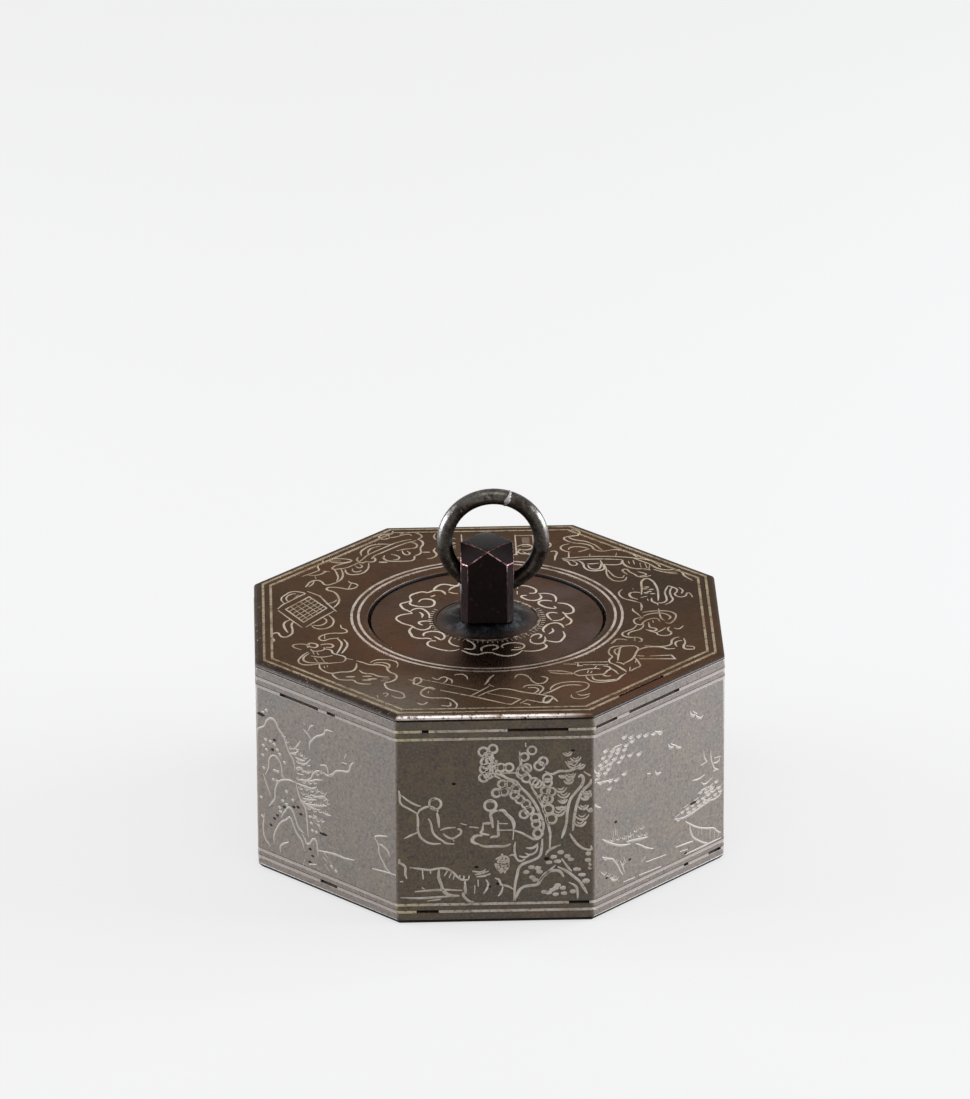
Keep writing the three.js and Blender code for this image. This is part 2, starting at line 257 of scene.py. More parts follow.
def beside(tree, near, far, most=1):
    """A mask for both sides of the box: 0 within near mm of the middle plane, most past far."""
    size = add(tree, "ShaderNodeMath", operation="ABSOLUTE")
    tree.links.new(coordinate(tree, "X"), size.inputs[0])
    return ramp(tree, size.outputs[0], near, far, 0, most)


def around(tree, centre, inner, outer):
    """A mask that runs from 1 to 0 with the distance in mm from an upright axis."""
    place = add(tree, "ShaderNodeMapping", vector_type="POINT")
    place.inputs["Location"].default_value = (-centre[0], -centre[1], 0)
    place.inputs["Scale"].default_value = (1, 1, 0)
    reach = add(tree, "ShaderNodeVectorMath", operation="LENGTH")
    tree.links.new(in_millimetres(tree), place.inputs["Vector"])
    tree.links.new(place.outputs[0], reach.inputs[0])
    return ramp(tree, reach.outputs["Value"], inner, outer, 1, 0)


def dusty(tree, centre, inner, outer, size, low, high):
    """Clouds that stay near an upright axis."""
    cloud = use_group(tree, CLOUDS, Size=size, From=low, To=high)
    both = add(tree, "ShaderNodeMath", operation="MULTIPLY")
    tree.links.new(cloud.outputs["Mask"], both.inputs[0])
    tree.links.new(around(tree, centre, inner, outer), both.inputs[1])
    return both.outputs[0]


# %% One recipe for every metal
PIT_SPACING = 2.4
PIT_COLOUR = (0.008, 0.006, 0.005)
SCRATCH_LOW, SCRATCH_HIGH = 0.3, 0.7
SCRATCH_DEPTH = 0.02 * MM
SKIN_IOR = 1.56


def metal(name, base, layers, metallic=1.0, edge=(1, 1, 1), coat=0.0, coat_roughness=0.5,
          specular=0.5, roughness=(0.3, 0.45), scratch=(5, 5, 5), pits=0.05, bump=0.3):
    """base is a colour; each layer, of tarnish or of painted light and shade, is (colour, size in mm,
    from, to), or (colour, a function that makes the mask, and what it needs)."""
    material = bpy.data.materials.new(name)
    material.use_nodes = True
    tree = material.node_tree
    shader = tree.nodes["Principled BSDF"]
    colour = base
    for tone, kind, *values in layers:
        if callable(kind):
            mask = kind(tree, *values)
        else:
            cloud = use_group(tree, CLOUDS, Size=kind, From=values[0], To=values[1])
            mask = cloud.outputs["Mask"]
        colour = mix_colour(tree, mask, colour, tone)
    if pits:
        specks = use_group(tree, PITS, Spacing=PIT_SPACING, Radius=pits)
        colour = mix_colour(tree, specks.outputs["Mask"], colour, PIT_COLOUR)
    tree.links.new(colour, shader.inputs["Base Color"])

    lines = use_group(tree, SCRATCHES, Along_X=scratch[0], Along_Y=scratch[1], Along_Z=scratch[2])
    rough = ramp(tree, lines.outputs["Height"], SCRATCH_LOW, SCRATCH_HIGH, *roughness)
    tree.links.new(rough, shader.inputs["Roughness"])

    relief = add(tree, "ShaderNodeBump", Strength=bump, Distance=SCRATCH_DEPTH)
    tree.links.new(lines.outputs["Height"], relief.inputs["Height"])
    tree.links.new(relief.outputs[0], shader.inputs["Normal"])
    shader.inputs["Metallic"].default_value = metallic
    shader.inputs["Specular IOR Level"].default_value = specular
    shader.inputs["Specular Tint"].default_value = (*edge, 1)
    shader.inputs["Coat Weight"].default_value = coat
    shader.inputs["Coat Roughness"].default_value = coat_roughness
    shader.inputs["Coat IOR"].default_value = SKIN_IOR
    return material


# %% Bronzes of the box
# Two fine layers that the top and the lid share, and the axis of the lid's foot
BROWN_GRAIN = [((0.12, 0.075, 0.05), 0.4, 0.55, 0.78), ((0.045, 0.025, 0.016), 0.6, 0.56, 0.8)]
FOOT = (0, 0.7)
BROWN_SHEEN = (0.6, 0.58, 0.55)

WALL_BRONZE = metal(
    "wall bronze", (0.056, 0.034, 0.017),
    [((0.034, 0.022, 0.012), 8, 0.4, 0.66), ((0.085, 0.058, 0.02), 3, 0.5, 0.68),
     # the first layer here is painted sheen: the side walls, which face the lamps, are painted greyer
     ((0.058, 0.041, 0.029), beside, 10.9, 11.5, 0.7), ((0.043, 0.038, 0.026), 5, 0.5, 0.72),
     ((0.1, 0.07, 0.04), 0.3, 0.48, 0.66), ((0.018, 0.011, 0.007), 0.4, 0.52, 0.68)],
    metallic=0.0, coat=1.0, specular=0.0, roughness=(0.5, 0.6), scratch=(9, 9, 1.5), bump=0.45,
)
TOP_BRONZE = metal(
    "top bronze", (0.09, 0.05, 0.031),
    [((0.068, 0.039, 0.026), 6, 0.4, 0.66), ((0.115, 0.05, 0.025), 9, 0.5, 0.7),
     # painted sheen: a pale grey patch at the front left; the next two only make the front lighter
     # and the right darker
     ((0.17, 0.14, 0.115), around, (-13, -25), 1, 12),
     ((0.125, 0.072, 0.045), around, (3, -22), 1, 12),
     ((0.055, 0.036, 0.026), around, (20, 8), 2, 17),
     # painted highlight: a reddish patch at the front right
     ((0.118, 0.052, 0.03), around, (15, -19), 0, 8), *BROWN_GRAIN],
    edge=BROWN_SHEEN, roughness=(0.2, 0.36), scratch=(6, 1.2, 4), pits=0.035, bump=0.15,
)
LID_BRONZE = metal(
    "lid bronze", (0.097, 0.057, 0.043),
    [((0.105, 0.07, 0.064), across, "X", 2, 8),
     ((0.068, 0.039, 0.028), 5, 0.4, 0.66), ((0.11, 0.05, 0.027), 7, 0.5, 0.7),
     *BROWN_GRAIN, ((0.035, 0.034, 0.038), around, FOOT, 4.7, 6.0),
     ((0.012, 0.012, 0.015), around, FOOT, 3.4, 4.9),
     ((0.11, 0.12, 0.132), dusty, FOOT, 4.6, 5.9, 1.6, 0.46, 0.66)],
    edge=BROWN_SHEEN, roughness=(0.2, 0.34), scratch=(6, 1.2, 4), pits=0.035, bump=0.2,
)
# painted shade: a dark brown that barely reflects, laid on the parts of the nose that are to look
# dark; its pale specks are painted glints
EDGE_SHADE_AND_GLINTS = metal(
    "brown edge, painted shade and glints", (0.026, 0.016, 0.01),
    [((0.012, 0.008, 0.006), 1.6, 0.45, 0.65), ((0.3, 0.27, 0.25), 0.35, 0.64, 0.72)],
    metallic=0.0, specular=0.05, roughness=(0.4, 0.55),
)
# the front of the nose: metal worn bright by hands, and also a painted highlight that fades to brown
# at its right end and darkens at its left end
NOSE_WEAR_AND_HIGHLIGHT = metal(
    "polished edge and painted highlight", (0.5, 0.45, 0.43),
    [((0.2, 0.14, 0.11), 1.2, 0.5, 0.66), ((0.03, 0.019, 0.014), 0.45, 0.54, 0.66),
     ((0.075, 0.045, 0.03), across, "X", 6, 10.5), ((0.05, 0.035, 0.028), across, "X", -11, -11.6),
     ((0.3, 0.27, 0.25), 0.5, 0.66, 0.72)],
    roughness=(0.25, 0.4), scratch=(2, 2, 2), pits=0.12,
)
# painted light and shade in the wall of the mouth: a lighter brown with no metal sheen for the light
# its rounded edge catches, a painted glint at the right, and painted shade along its lowest part
MOUTH_LIGHT_AND_SHADE = metal(
    "bronze of the mouth, painted light and shade", (0.14, 0.095, 0.08),
    [((0.08, 0.05, 0.038), 1.6, 0.45, 0.65), ((0.24, 0.2, 0.19), around, (15, 1), 3, 8),
     ((0.012, 0.009, 0.007), across, "Z", 25.98, 25.88)],
    metallic=0.0, specular=0.3, roughness=(0.3, 0.45), scratch=(2, 2, 8), pits=0.0,
)

# %% Bronzes of the post and ring
BLACK_BRONZE = metal(
    "black bronze", (0.007, 0.005, 0.005),
    [((0.01, 0.005, 0.0045), 3.5, 0.4, 0.65), ((0.03, 0.024, 0.012), 0.5, 0.6, 0.76)],
    metallic=0.0, specular=0.06, roughness=(0.2, 0.4), scratch=(5, 5, 2), pits=0.06, bump=0.5,
)
RING_BRONZE = metal(
    "ring bronze", (0.085, 0.078, 0.07),
    [((0.03, 0.022, 0.018), 2.2, 0.45, 0.62), ((0.22, 0.2, 0.18), 0.7, 0.58, 0.72),
     ((0.05, 0.07, 0.04), 3, 0.56, 0.72), ((0.02, 0.015, 0.012), 0.3, 0.54, 0.7)],
    metallic=1.0, edge=(0.9, 0.9, 0.9), roughness=(0.24, 0.42), scratch=(3, 3, 3), pits=0.06,
    bump=0.8,
)
SOLDER = metal(
    "silver solder", (0.36, 0.34, 0.33), [((0.15, 0.12, 0.1), 0.4, 0.5, 0.7)],
    roughness=(0.4, 0.6), pits=0.0,
)
WORN_BRONZE = metal(
    "worn bronze", (0.3, 0.16, 0.148),
    [((0.06, 0.026, 0.024), 1.1, 0.42, 0.58), ((0.012, 0.008, 0.008), 0.5, 0.48, 0.6),
     ((0.03, 0.016, 0.014), across, "Z", 33.5, 31)],
    roughness=(0.4, 0.55), pits=0.04,
)

# %% Dirt, painted shade and the inside
# grime in the grooves and pits, also used as painted shade under the nose, on the right of the nose
# and under the base
GRIME_AND_SHADE = metal(
    "grime in the grooves and painted shade", (0.012, 0.009, 0.007),
    [((0.03, 0.022, 0.012), 0.5, 0.5, 0.7)],
    metallic=0.0, specular=0.06, roughness=(0.7, 0.9), pits=0.0,
)
INNER_BRONZE = metal(
    "inner bronze", (0.1, 0.07, 0.045),
    [((0.05, 0.036, 0.026), 5, 0.4, 0.65), ((0.13, 0.09, 0.05), 1.5, 0.52, 0.72)],
    metallic=0.7, roughness=(0.45, 0.65), scratch=(3, 3, 3), pits=0.06,
)

# %% Silvers
YELLOW_SHEEN = (0.85, 0.82, 0.76)
WALL_SILVER = metal(
    "silver of the walls", (0.5, 0.44, 0.38),
    [((0.34, 0.29, 0.23), 2.2, 0.4, 0.65), ((0.16, 0.125, 0.09), 0.4, 0.54, 0.72),
     # painted shade: the silver on the side walls, which face the lamps, is painted darker
     ((0.18, 0.15, 0.118), beside, 11.1, 11.5)],
    metallic=0.0, coat=0.78, specular=0.0, roughness=(0.4, 0.5), pits=0.0,
)
WIRE_SILVER = metal(
    "dull silver of the wall wires", (0.46, 0.4, 0.34),
    [((0.32, 0.27, 0.2), 2.2, 0.4, 0.6), ((0.42, 0.35, 0.2), around, (-10.4, -27), 0.5, 4.5),
     # the last layer is painted shade: the wires on the side walls, which face the lamps, are painted
     # darker
     ((0.1, 0.08, 0.055), 0.5, 0.5, 0.66), ((0.14, 0.108, 0.086), beside, 11.1, 11.5)],
    metallic=0.0, coat=1.0, specular=0.0, roughness=(0.4, 0.5), pits=0.0,
)
TOP_SILVER = metal(
    "yellowed silver of the top", (0.52, 0.44, 0.34),
    [((0.27, 0.19, 0.11), 3.2, 0.45, 0.68), ((0.62, 0.57, 0.5), 6, 0.5, 0.7),
     ((0.12, 0.08, 0.05), 0.45, 0.56, 0.72)],
    edge=YELLOW_SHEEN, roughness=(0.3, 0.45), pits=0.0,
)
COLLAR_SILVER = metal(
    "bright silver of the lid", (0.68, 0.6, 0.5),
    [((0.5, 0.38, 0.22), 5, 0.5, 0.7), ((0.2, 0.14, 0.09), 0.4, 0.58, 0.74)],
    edge=(0.9, 0.88, 0.84), roughness=(0.3, 0.45), pits=0.0,
)
BORDER_SILVER = metal(
    "dull silver of the border", (0.4, 0.33, 0.23),
    [((0.24, 0.17, 0.1), 3.2, 0.45, 0.65), ((0.09, 0.06, 0.04), 0.5, 0.5, 0.68)],
    edge=YELLOW_SHEEN, roughness=(0.3, 0.45), pits=0.0,
)
MOUTH_SILVER = metal(
    "silver round the mouth", (0.56, 0.48, 0.42),
    [((0.3, 0.22, 0.16), 3.2, 0.45, 0.65), ((0.1, 0.065, 0.045), 0.6, 0.56, 0.7)],
    edge=(0.9, 0.86, 0.82), roughness=(0.25, 0.4), pits=0.0,
)
DIRTY_SILVER = metal(
    "dirty silver of the lid wire", (0.5, 0.43, 0.36),
    [((0.05, 0.035, 0.025), 0.45, 0.42, 0.56), ((0.045, 0.03, 0.02), across, "X", -1, -4)],
    edge=YELLOW_SHEEN, roughness=(0.35, 0.5), pits=0.0,
)
print("materials:", [material.name for material in bpy.data.materials])

# %% [markdown]
# ## Finishing the turned, bent and filed pieces
#
# A machine-sharp edge is what gives a model away. Each visible piece of the frame is copied, its
# triangles are merged into flat faces, and its edges are broken with a small bevel, as a file and
# a century of hands would. Faces that are worn or dirty, and faces that carry painted light or
# shade, then get their own material by place.

# %% Helpers for finished pieces


def only(piece):
    bpy.ops.object.select_all(action="DESELECT")
    piece.select_set(True)
    bpy.context.view_layer.objects.active = piece


def clean_copy(node, name):
    """A copy of a CAD node with its loose triangles merged into flat faces."""
    piece = bpy.data.objects.new(name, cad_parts[node].data.copy())
    bpy.context.collection.objects.link(piece)
    only(piece)
    bpy.ops.object.mode_set(mode="EDIT")
    bpy.ops.mesh.select_all(action="SELECT")
    bpy.ops.mesh.remove_doubles(threshold=2e-6)
    bpy.ops.mesh.dissolve_limited(angle_limit=math.radians(0.5))
    bpy.ops.mesh.select_all(action="DESELECT")
    bpy.ops.object.mode_set(mode="OBJECT")
    return piece


def break_edges(piece, width, angle=25, worn_slot=-1, flat=math.inf, clamp=True):
    """A small bevel on every sharp edge; faces of more than flat mm2 stay flat."""
    only(piece)
    bevel = piece.modifiers.new("broken edges", "BEVEL")
    bevel.width = width
    bevel.segments = 2
    bevel.limit_method = "ANGLE"
    bevel.angle_limit = math.radians(angle)
    bevel.material = worn_slot
    bevel.use_clamp_overlap = clamp
    bpy.ops.object.modifier_apply(modifier=bevel.name)
    bpy.ops.object.shade_smooth_by_angle(angle=math.radians(30))
    for face in piece.data.polygons:
        if face.area > flat * MM * MM:
            face.use_smooth = False


def give(piece, *materials):
    piece.data.materials.clear()
    for material in materials:
        piece.data.materials.append(material)


def paint(piece, slot, where):
    """Faces whose centre and normal pass the test get another material slot."""
    chosen = [face for face in piece.data.polygons if where(face.center / MM, face.normal)]
    for face in chosen:
        face.material_index = slot
    print(piece.name, "slot", slot, "on", len(chosen), "faces")


def keep_flat(piece, where):
    """Large flat faces don't share in the rounding of the edges beside them."""
    for face in piece.data.polygons:
        if where(face.center / MM, face.normal):
            face.use_smooth = False


def apothem(place):
    """How far out a point lies on the octagon, in the direction of the nearest face."""
    turn = round(math.degrees(math.atan2(place.y, place.x)) / 45) * math.radians(45)
    return place.x * math.cos(turn) + place.y * math.sin(turn)


def side(place):
    """The nearest side of the octagon: 0 at the front, 1 front right, 7 front left."""
    return round(math.degrees(math.atan2(place.y, place.x)) / 45 + 2) % 8


def from_mouth(place):
    """How far a point lies from the axis of the mouth."""
    return (place - MOUTH).xy.length


def place_on(piece, body, slot, *nodes):
    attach(piece, body)
    if nodes:
        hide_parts(*nodes)


# %% [markdown]
# ## Wall and plates
#
# The wall, the top and the base are soldered sheets. Dirt lies in their grooves. Under the nose
# of the top, along the joint with the wall, and under the base, the same dark material is painted
# shade. Hands have rubbed the nose bright at the front, and there its bright metal is also a
# painted highlight that fades to brown at the right end. On the other sides, and under its front,
# the nose is a dark brown of painted shade with painted glints, and on the right a strip of it is
# painted shade. The side of the top plate has the same skin as the wall. One material over all
# would lose that, so each face gets its own by its place and the way it looks.

# %% The wall
HALF = 27.0
TOP_SURFACE = 26.2
LID_SURFACE = 25.75
MOUTH = Vector((0, 0.7, 0))
MOUTH_EDGE = 13.95
NOSE_STARTS = 26.25
LEVEL = 0.999
CLEAN, DIRT_AND_SHADE, RUBBED_AND_HIGHLIT_NOSE, SHADED_NOSE, SKIN, THROAT_LIGHT_AND_SHADE = range(6)


def in_wall_groove(c, n):
    """Groove faces lie under the wall's surface, between its lower and upper edge."""
    return (26.4 < apothem(c) < HALF - 0.04 and 1 < c.z < 25
            and (abs(n.z) > 0.5 or apothem(c) < HALF - 0.1))


wall = clean_copy("wall_band", "wall_finished")
give(wall, WALL_BRONZE, GRIME_AND_SHADE)
break_edges(wall, 0.05 * MM)
paint(wall, DIRT_AND_SHADE, in_wall_groove)
keep_flat(wall, lambda c, n: apothem(c) > HALF - 0.01)
place_on(wall, "box", "bronze", "wall_band")

# %% The top plate


def in_top_groove(c, n):
    """The grooves of the border and mouth wires, between the mouth and the nose."""
    return (TOP_SURFACE - 0.36 < c.z < TOP_SURFACE - 0.02 and from_mouth(c) > 14.2
            and apothem(c) < 26.1)


def nose(sides, low, high):
    """A test for the nose on some sides, where it looks up by between low and high."""
    return lambda c, n: apothem(c) > NOSE_STARTS and low < n.z < high and side(c) in sides


FRONT, RIGHT, OTHERS = (0,), (1, 2), (3, 4, 5, 6, 7)
top = clean_copy("top_plate", "top_plate_finished")
give(top, TOP_BRONZE, GRIME_AND_SHADE, NOSE_WEAR_AND_HIGHLIGHT, EDGE_SHADE_AND_GLINTS, WALL_BRONZE, MOUTH_LIGHT_AND_SHADE)
break_edges(top, 0.04 * MM, angle=20)
paint(top, DIRT_AND_SHADE, in_top_groove)
paint(top, SKIN, nose(range(8), -math.inf, LEVEL))
# painted shade on the nose of the other sides
paint(top, SHADED_NOSE, nose(OTHERS, 0.1, 0.995))
# worn metal and painted highlight on the front of the nose
paint(top, RUBBED_AND_HIGHLIT_NOSE, nose(FRONT, 0.1, 0.95))
# painted shade under the front of the nose
paint(top, SHADED_NOSE, nose(FRONT, -math.inf, 0.1))
# painted shade on the right of the nose, in place of the light it would catch
paint(top, DIRT_AND_SHADE, nose(RIGHT, 0.1, 0.7))
paint(top, CLEAN, nose(RIGHT, 0.7, LEVEL))
paint(top, CLEAN, nose(FRONT, 0.95, LEVEL))
# painted light and shade on the wall of the mouth
paint(top, THROAT_LIGHT_AND_SHADE, lambda c, n: from_mouth(c) < MOUTH_EDGE and abs(n.z) < 0.98)
# painted shade under the nose of the top, and partly the dark joint with the wall
paint(top, DIRT_AND_SHADE, lambda c, n: apothem(c) > HALF - 0.75 and c.z < 25.56)
keep_flat(top, lambda c, n: n.z > LEVEL)
place_on(top, "box", "bronze", "top_plate")

# %% The base and the lid
base = clean_copy("base_plate", "base_plate_finished")
give(base, WALL_BRONZE, GRIME_AND_SHADE)
break_edges(base, 0.08 * MM)
# painted shade: the underside of the base, where it meets the floor
paint(base, DIRT_AND_SHADE, lambda c, n: n.z < -0.2)
keep_flat(base, lambda c, n: abs(n.z) > LEVEL or abs(n.z) < 1 - LEVEL)
place_on(base, "box", "bronze", "base_plate")

lid = clean_copy("lid_disc", "lid_finished")
give(lid, LID_BRONZE)
break_edges(lid, 0.06 * MM, angle=28)
keep_flat(lid, lambda c, n: n.z > LEVEL)
place_on(lid, "lid", "bronze", "lid_disc")

# %% [markdown]
# ## Post and ring
#
# The post is black, and only its filed edges have worn through to copper brown, so its bevel
# gets a second material. The ring is one bent wire. Its ends meet in a bright drop of solder,
# which is a short, slightly slanting disc across the wire.

# %% The post and the ring
post = clean_copy("knob_post", "post_finished")
give(post, BLACK_BRONZE, WORN_BRONZE)
break_edges(post, 0.07 * MM, angle=20, worn_slot=1, flat=0.6, clamp=False)
place_on(post, "lid", "black_bronze", "knob_post")

ring = clean_copy("pull_ring", "ring_finished")
give(ring, RING_BRONZE)
break_edges(ring, 0.05 * MM, angle=50)
place_on(ring, "ring", "black_bronze", "pull_ring")

# %% The solder of the ring
RING_X, RING_Z = 0.75, 35.65
RING_RADIUS = 5.6
JOINT_TURN = math.radians(73)
JOINT_SLANT = math.radians(22)
joint = Vector((
    RING_X + RING_RADIUS * math.cos(JOINT_TURN), MOUTH.y,
    RING_Z + RING_RADIUS * math.sin(JOINT_TURN),
))
bpy.ops.object.select_all(action="DESELECT")
bpy.ops.mesh.primitive_cylinder_add(
    vertices=32, radius=0.945 * MM, depth=0.62 * MM, location=joint * MM,
    rotation=(0, -JOINT_TURN + JOINT_SLANT, 0),
)
solder = bpy.context.active_object
solder.name = "ring_solder"
bpy.ops.object.transform_apply(location=True, rotation=True, scale=True)
give(solder, SOLDER)
break_edges(solder, 0.04 * MM)
place_on(solder, "ring", "silver_wire")
print("ring joint at mm:", [round(v, 2) for v in joint])

# %% [markdown]
# ## Inner pieces and border wires
#
# The seat, the sleeve and the washer show when the lid is lifted. They were never polished, so
# one dull bronze does for all three. The border wires are left as the frame has them, because
# each already lies in its own groove: they only get the silver of their place.

# %% Inner pieces
for node, name, body in (
    ("lid_seat_ring", "lid_seat_finished", "box"),
    ("lid_sleeve", "lid_sleeve_finished", "lid"),
    ("tenon_washer", "tenon_washer_finished", "lid"),
):
    inner = clean_copy(node, name)
    give(inner, INNER_BRONZE)
    break_edges(inner, 0.05 * MM)
    keep_flat(inner, lambda c, n: abs(n.z) > LEVEL)
    place_on(inner, body, "inner_bronze", node)

# %% Inlaid border wires
wire_nodes = [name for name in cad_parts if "wire" in name]
wire_silver = {
    "wall": WIRE_SILVER, "top": BORDER_SILVER, "mouth": MOUTH_SILVER, "lid": DIRTY_SILVER,
}
for name in wire_nodes:
    give(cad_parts[name], wire_silver[name.split("_")[0]])
print("wires:", len(wire_nodes))

# %% [markdown]
# ## Drawing with silver wire
#
# The inlayer cuts a fine groove for each stroke, hammers a soft silver wire into it and rubs it
# almost flush. Here each stroke is written down as it was drawn, point by point, turned into a
# curve with a thin section, rubbed flat and laid into the metal.
#
# A stroke is a list of x,y pairs in sketch units. Letters in front of it say how it runs:
# L straight, C closed, B bold, F faint, T pairs of short ticks, R rings as x,y,radius, N needle
# crescents as x,y,width, U tufts of leaves and D dots as x,y,size. The wire varies a little in
# width, as hand-drawn wire does.

# %% Reading a sketch
BIG_DOT = 22


def read_sketch(text):
    """Turns the text into a list of (flags, points), one for each stroke."""
    strokes = []
    for part in text.replace("\n", ";").split(";"):
        words = part.split()
        if not words:
            continue
        flags = words.pop(0) if words[0].isalpha() else ""
        points = [tuple(float(value) for value in word.split(",")) for word in words]
        if "T" in flags:
            strokes += [(flags + "L", points[i:i + 2]) for i in range(0, len(points), 2)]
        elif "R" in flags:
            strokes += [("C", ring_points(*point)) for point in points]
        elif "N" in flags:
            strokes += [stroke for point in points for stroke in crescent(*point)]
        elif "U" in flags:
            strokes += [stroke for point in points for stroke in tuft(*point)]
        elif "D" in flags:
            strokes += [
                ("D" if len(point) < 3 or point[2] < BIG_DOT else "DB", dot_points(*point))
                for point in points
            ]
        else:
            strokes.append((flags, points))
    return strokes


def ring_points(x, y, radius=27):
    return [
        (x + radius * math.cos(turn), y + radius * math.sin(turn))
        for turn in (math.radians(step * 60 + x + y) for step in range(6))
    ]


def crescent(x, y, width=60):
    """Pine needles: a hanging curve with a shorter one inside it."""
    half = width / 2
    outer = [(x - half, y - half * 0.35), (x - half * 0.3, y + half * 0.25),
             (x + half * 0.4, y + half * 0.2), (x + half, y - half * 0.5)]
    inner = [(x - half * 0.5, y - half * 0.45), (x, y - half * 0.15),
             (x + half * 0.6, y - half * 0.6)]
    return [("", outer), ("F", inner)]


def dot_points(x, y, size=18):
    return [(x - size * 0.75, y), (x - size * 0.3, y), (x + size * 0.3, y), (x + size * 0.75, y)]


def tuft(x, y, size=30):
    """A few leaves that fan out upwards from one place."""
    return [
        ("L", [(x, y), (x + size * lean, y - size * rise)])
        for lean, rise in ((-0.7, 0.6), (0.05, 1), (0.75, 0.5))
    ]


def shifted(strokes, dx=0, dy=0, mirror=None):
    """The same strokes somewhere else, mirrored about x = mirror if that is given."""
    moved = []
    for flags, points in strokes:
        if mirror is not None:
            points = [(2 * mirror - x, y) for x, y in points]
        moved.append((flags, [(x + dx, y + dy) for x, y in points]))
    return moved


# %% Laying the wire
WIRE_PROUD = 0.3
RUBBED = 0.5
STROKE = 0.28
BOLD, FAINT, DOT = 1.3, 0.7, 1.4


def lay_wire(name, strokes, to_mm, surface, body, material, slot="silver_wire", width=STROKE):
    """One piece from many strokes; to_mm maps sketch units to mm in the plane of the surface."""
    chance = random.Random(name)
    data = bpy.data.curves.new(name, "CURVE")
    data.dimensions = "2D"
    data.fill_mode = "NONE"
    data.bevel_depth = width / 2 * MM
    data.bevel_resolution = 1
    data.use_fill_caps = True
    data.resolution_u = 4
    for flags, points in strokes:
        places = [to_mm(*point) for point in points]
        straight = "L" in flags or "D" in flags
        spline = data.splines.new("POLY" if straight else "BEZIER")
        knots = spline.points if straight else spline.bezier_points
        knots.add(len(places) - 1)
        weight = BOLD if "B" in flags else FAINT if "F" in flags else 1
        weight *= DOT if "D" in flags else 1
        weight *= chance.uniform(0.88, 1.1)
        for index, (knot, place) in enumerate(zip(knots, places)):
            end = "C" not in flags and index in (0, len(places) - 1)
            knot.radius = weight * chance.uniform(0.85, 1.12) * (0.5 if end else 1)
            if straight:
                knot.co = (place[0] * MM, place[1] * MM, 0, 1)
            else:
                knot.co = (place[0] * MM, place[1] * MM, 0)
                knot.handle_left_type = knot.handle_right_type = "AUTO"
        spline.use_cyclic_u = "C" in flags
    piece = bpy.data.objects.new(name, data)
    bpy.context.collection.objects.link(piece)
    only(piece)
    bpy.ops.object.convert(target="MESH")
    piece = bpy.context.active_object
    piece.scale = (1, 1, WIRE_PROUD)
    bpy.ops.object.transform_apply(location=False, rotation=False, scale=True)
    for corner in piece.data.vertices:
        corner.co.z = min(corner.co.z, width / 2 * MM * WIRE_PROUD * RUBBED)
    piece.matrix_world = surface
    bpy.ops.object.transform_apply(location=True, rotation=True, scale=True)
    bpy.ops.object.shade_flat()
    give(piece, material)
    place_on(piece, body, slot)
    print(name, "strokes", len(strokes), "faces", len(piece.data.polygons))


def level(height):
    return Matrix.Translation((0, 0, height * MM))


def wall_plane(face):
    """The plane of one wall: x runs along the face, y up, and z out of it."""
    turn = math.radians(face * 45 - 90)
    out = Vector((math.cos(turn), math.sin(turn), 0))
    along = Vector((-math.sin(turn), math.cos(turn), 0))
    plane = Matrix((along, Vector((0, 0, 1)), out)).transposed().to_4x4()
    return Matrix.Translation(out * HALF * MM) @ plane


# Sketch units in one mm, and the point of each sketch that lies on the axis or corner
TOP_UNITS, WALL_UNITS = 26, 56
TOP_MIDDLE, LID_MIDDLE = 780, 772
WALL_LEFT, WALL_UP = 12.18, 27


def top_to_mm(x, y):
    return (x - TOP_MIDDLE) / TOP_UNITS, (TOP_MIDDLE - y) / TOP_UNITS


def lid_to_mm(x, y):
    return (x - TOP_MIDDLE) / TOP_UNITS, MOUTH.y + (LID_MIDDLE - y) / TOP_UNITS


def wall_to_mm(x, y):
    return x / WALL_UNITS - WALL_LEFT, WALL_UP - y / WALL_UNITS


# %% [markdown]
# ## Eight emblems on the top
#
# A traditional set of lucky objects with ribbons goes round the top, one on each side of the
# octagon: a chessboard, a gourd, scrolls, a flower basket with a flute, a fan, a leaf fan, a
# sceptre spray and a case of tablets. They were drawn straight into the metal without a ruler,
# so here they are written down one by one, point by point.

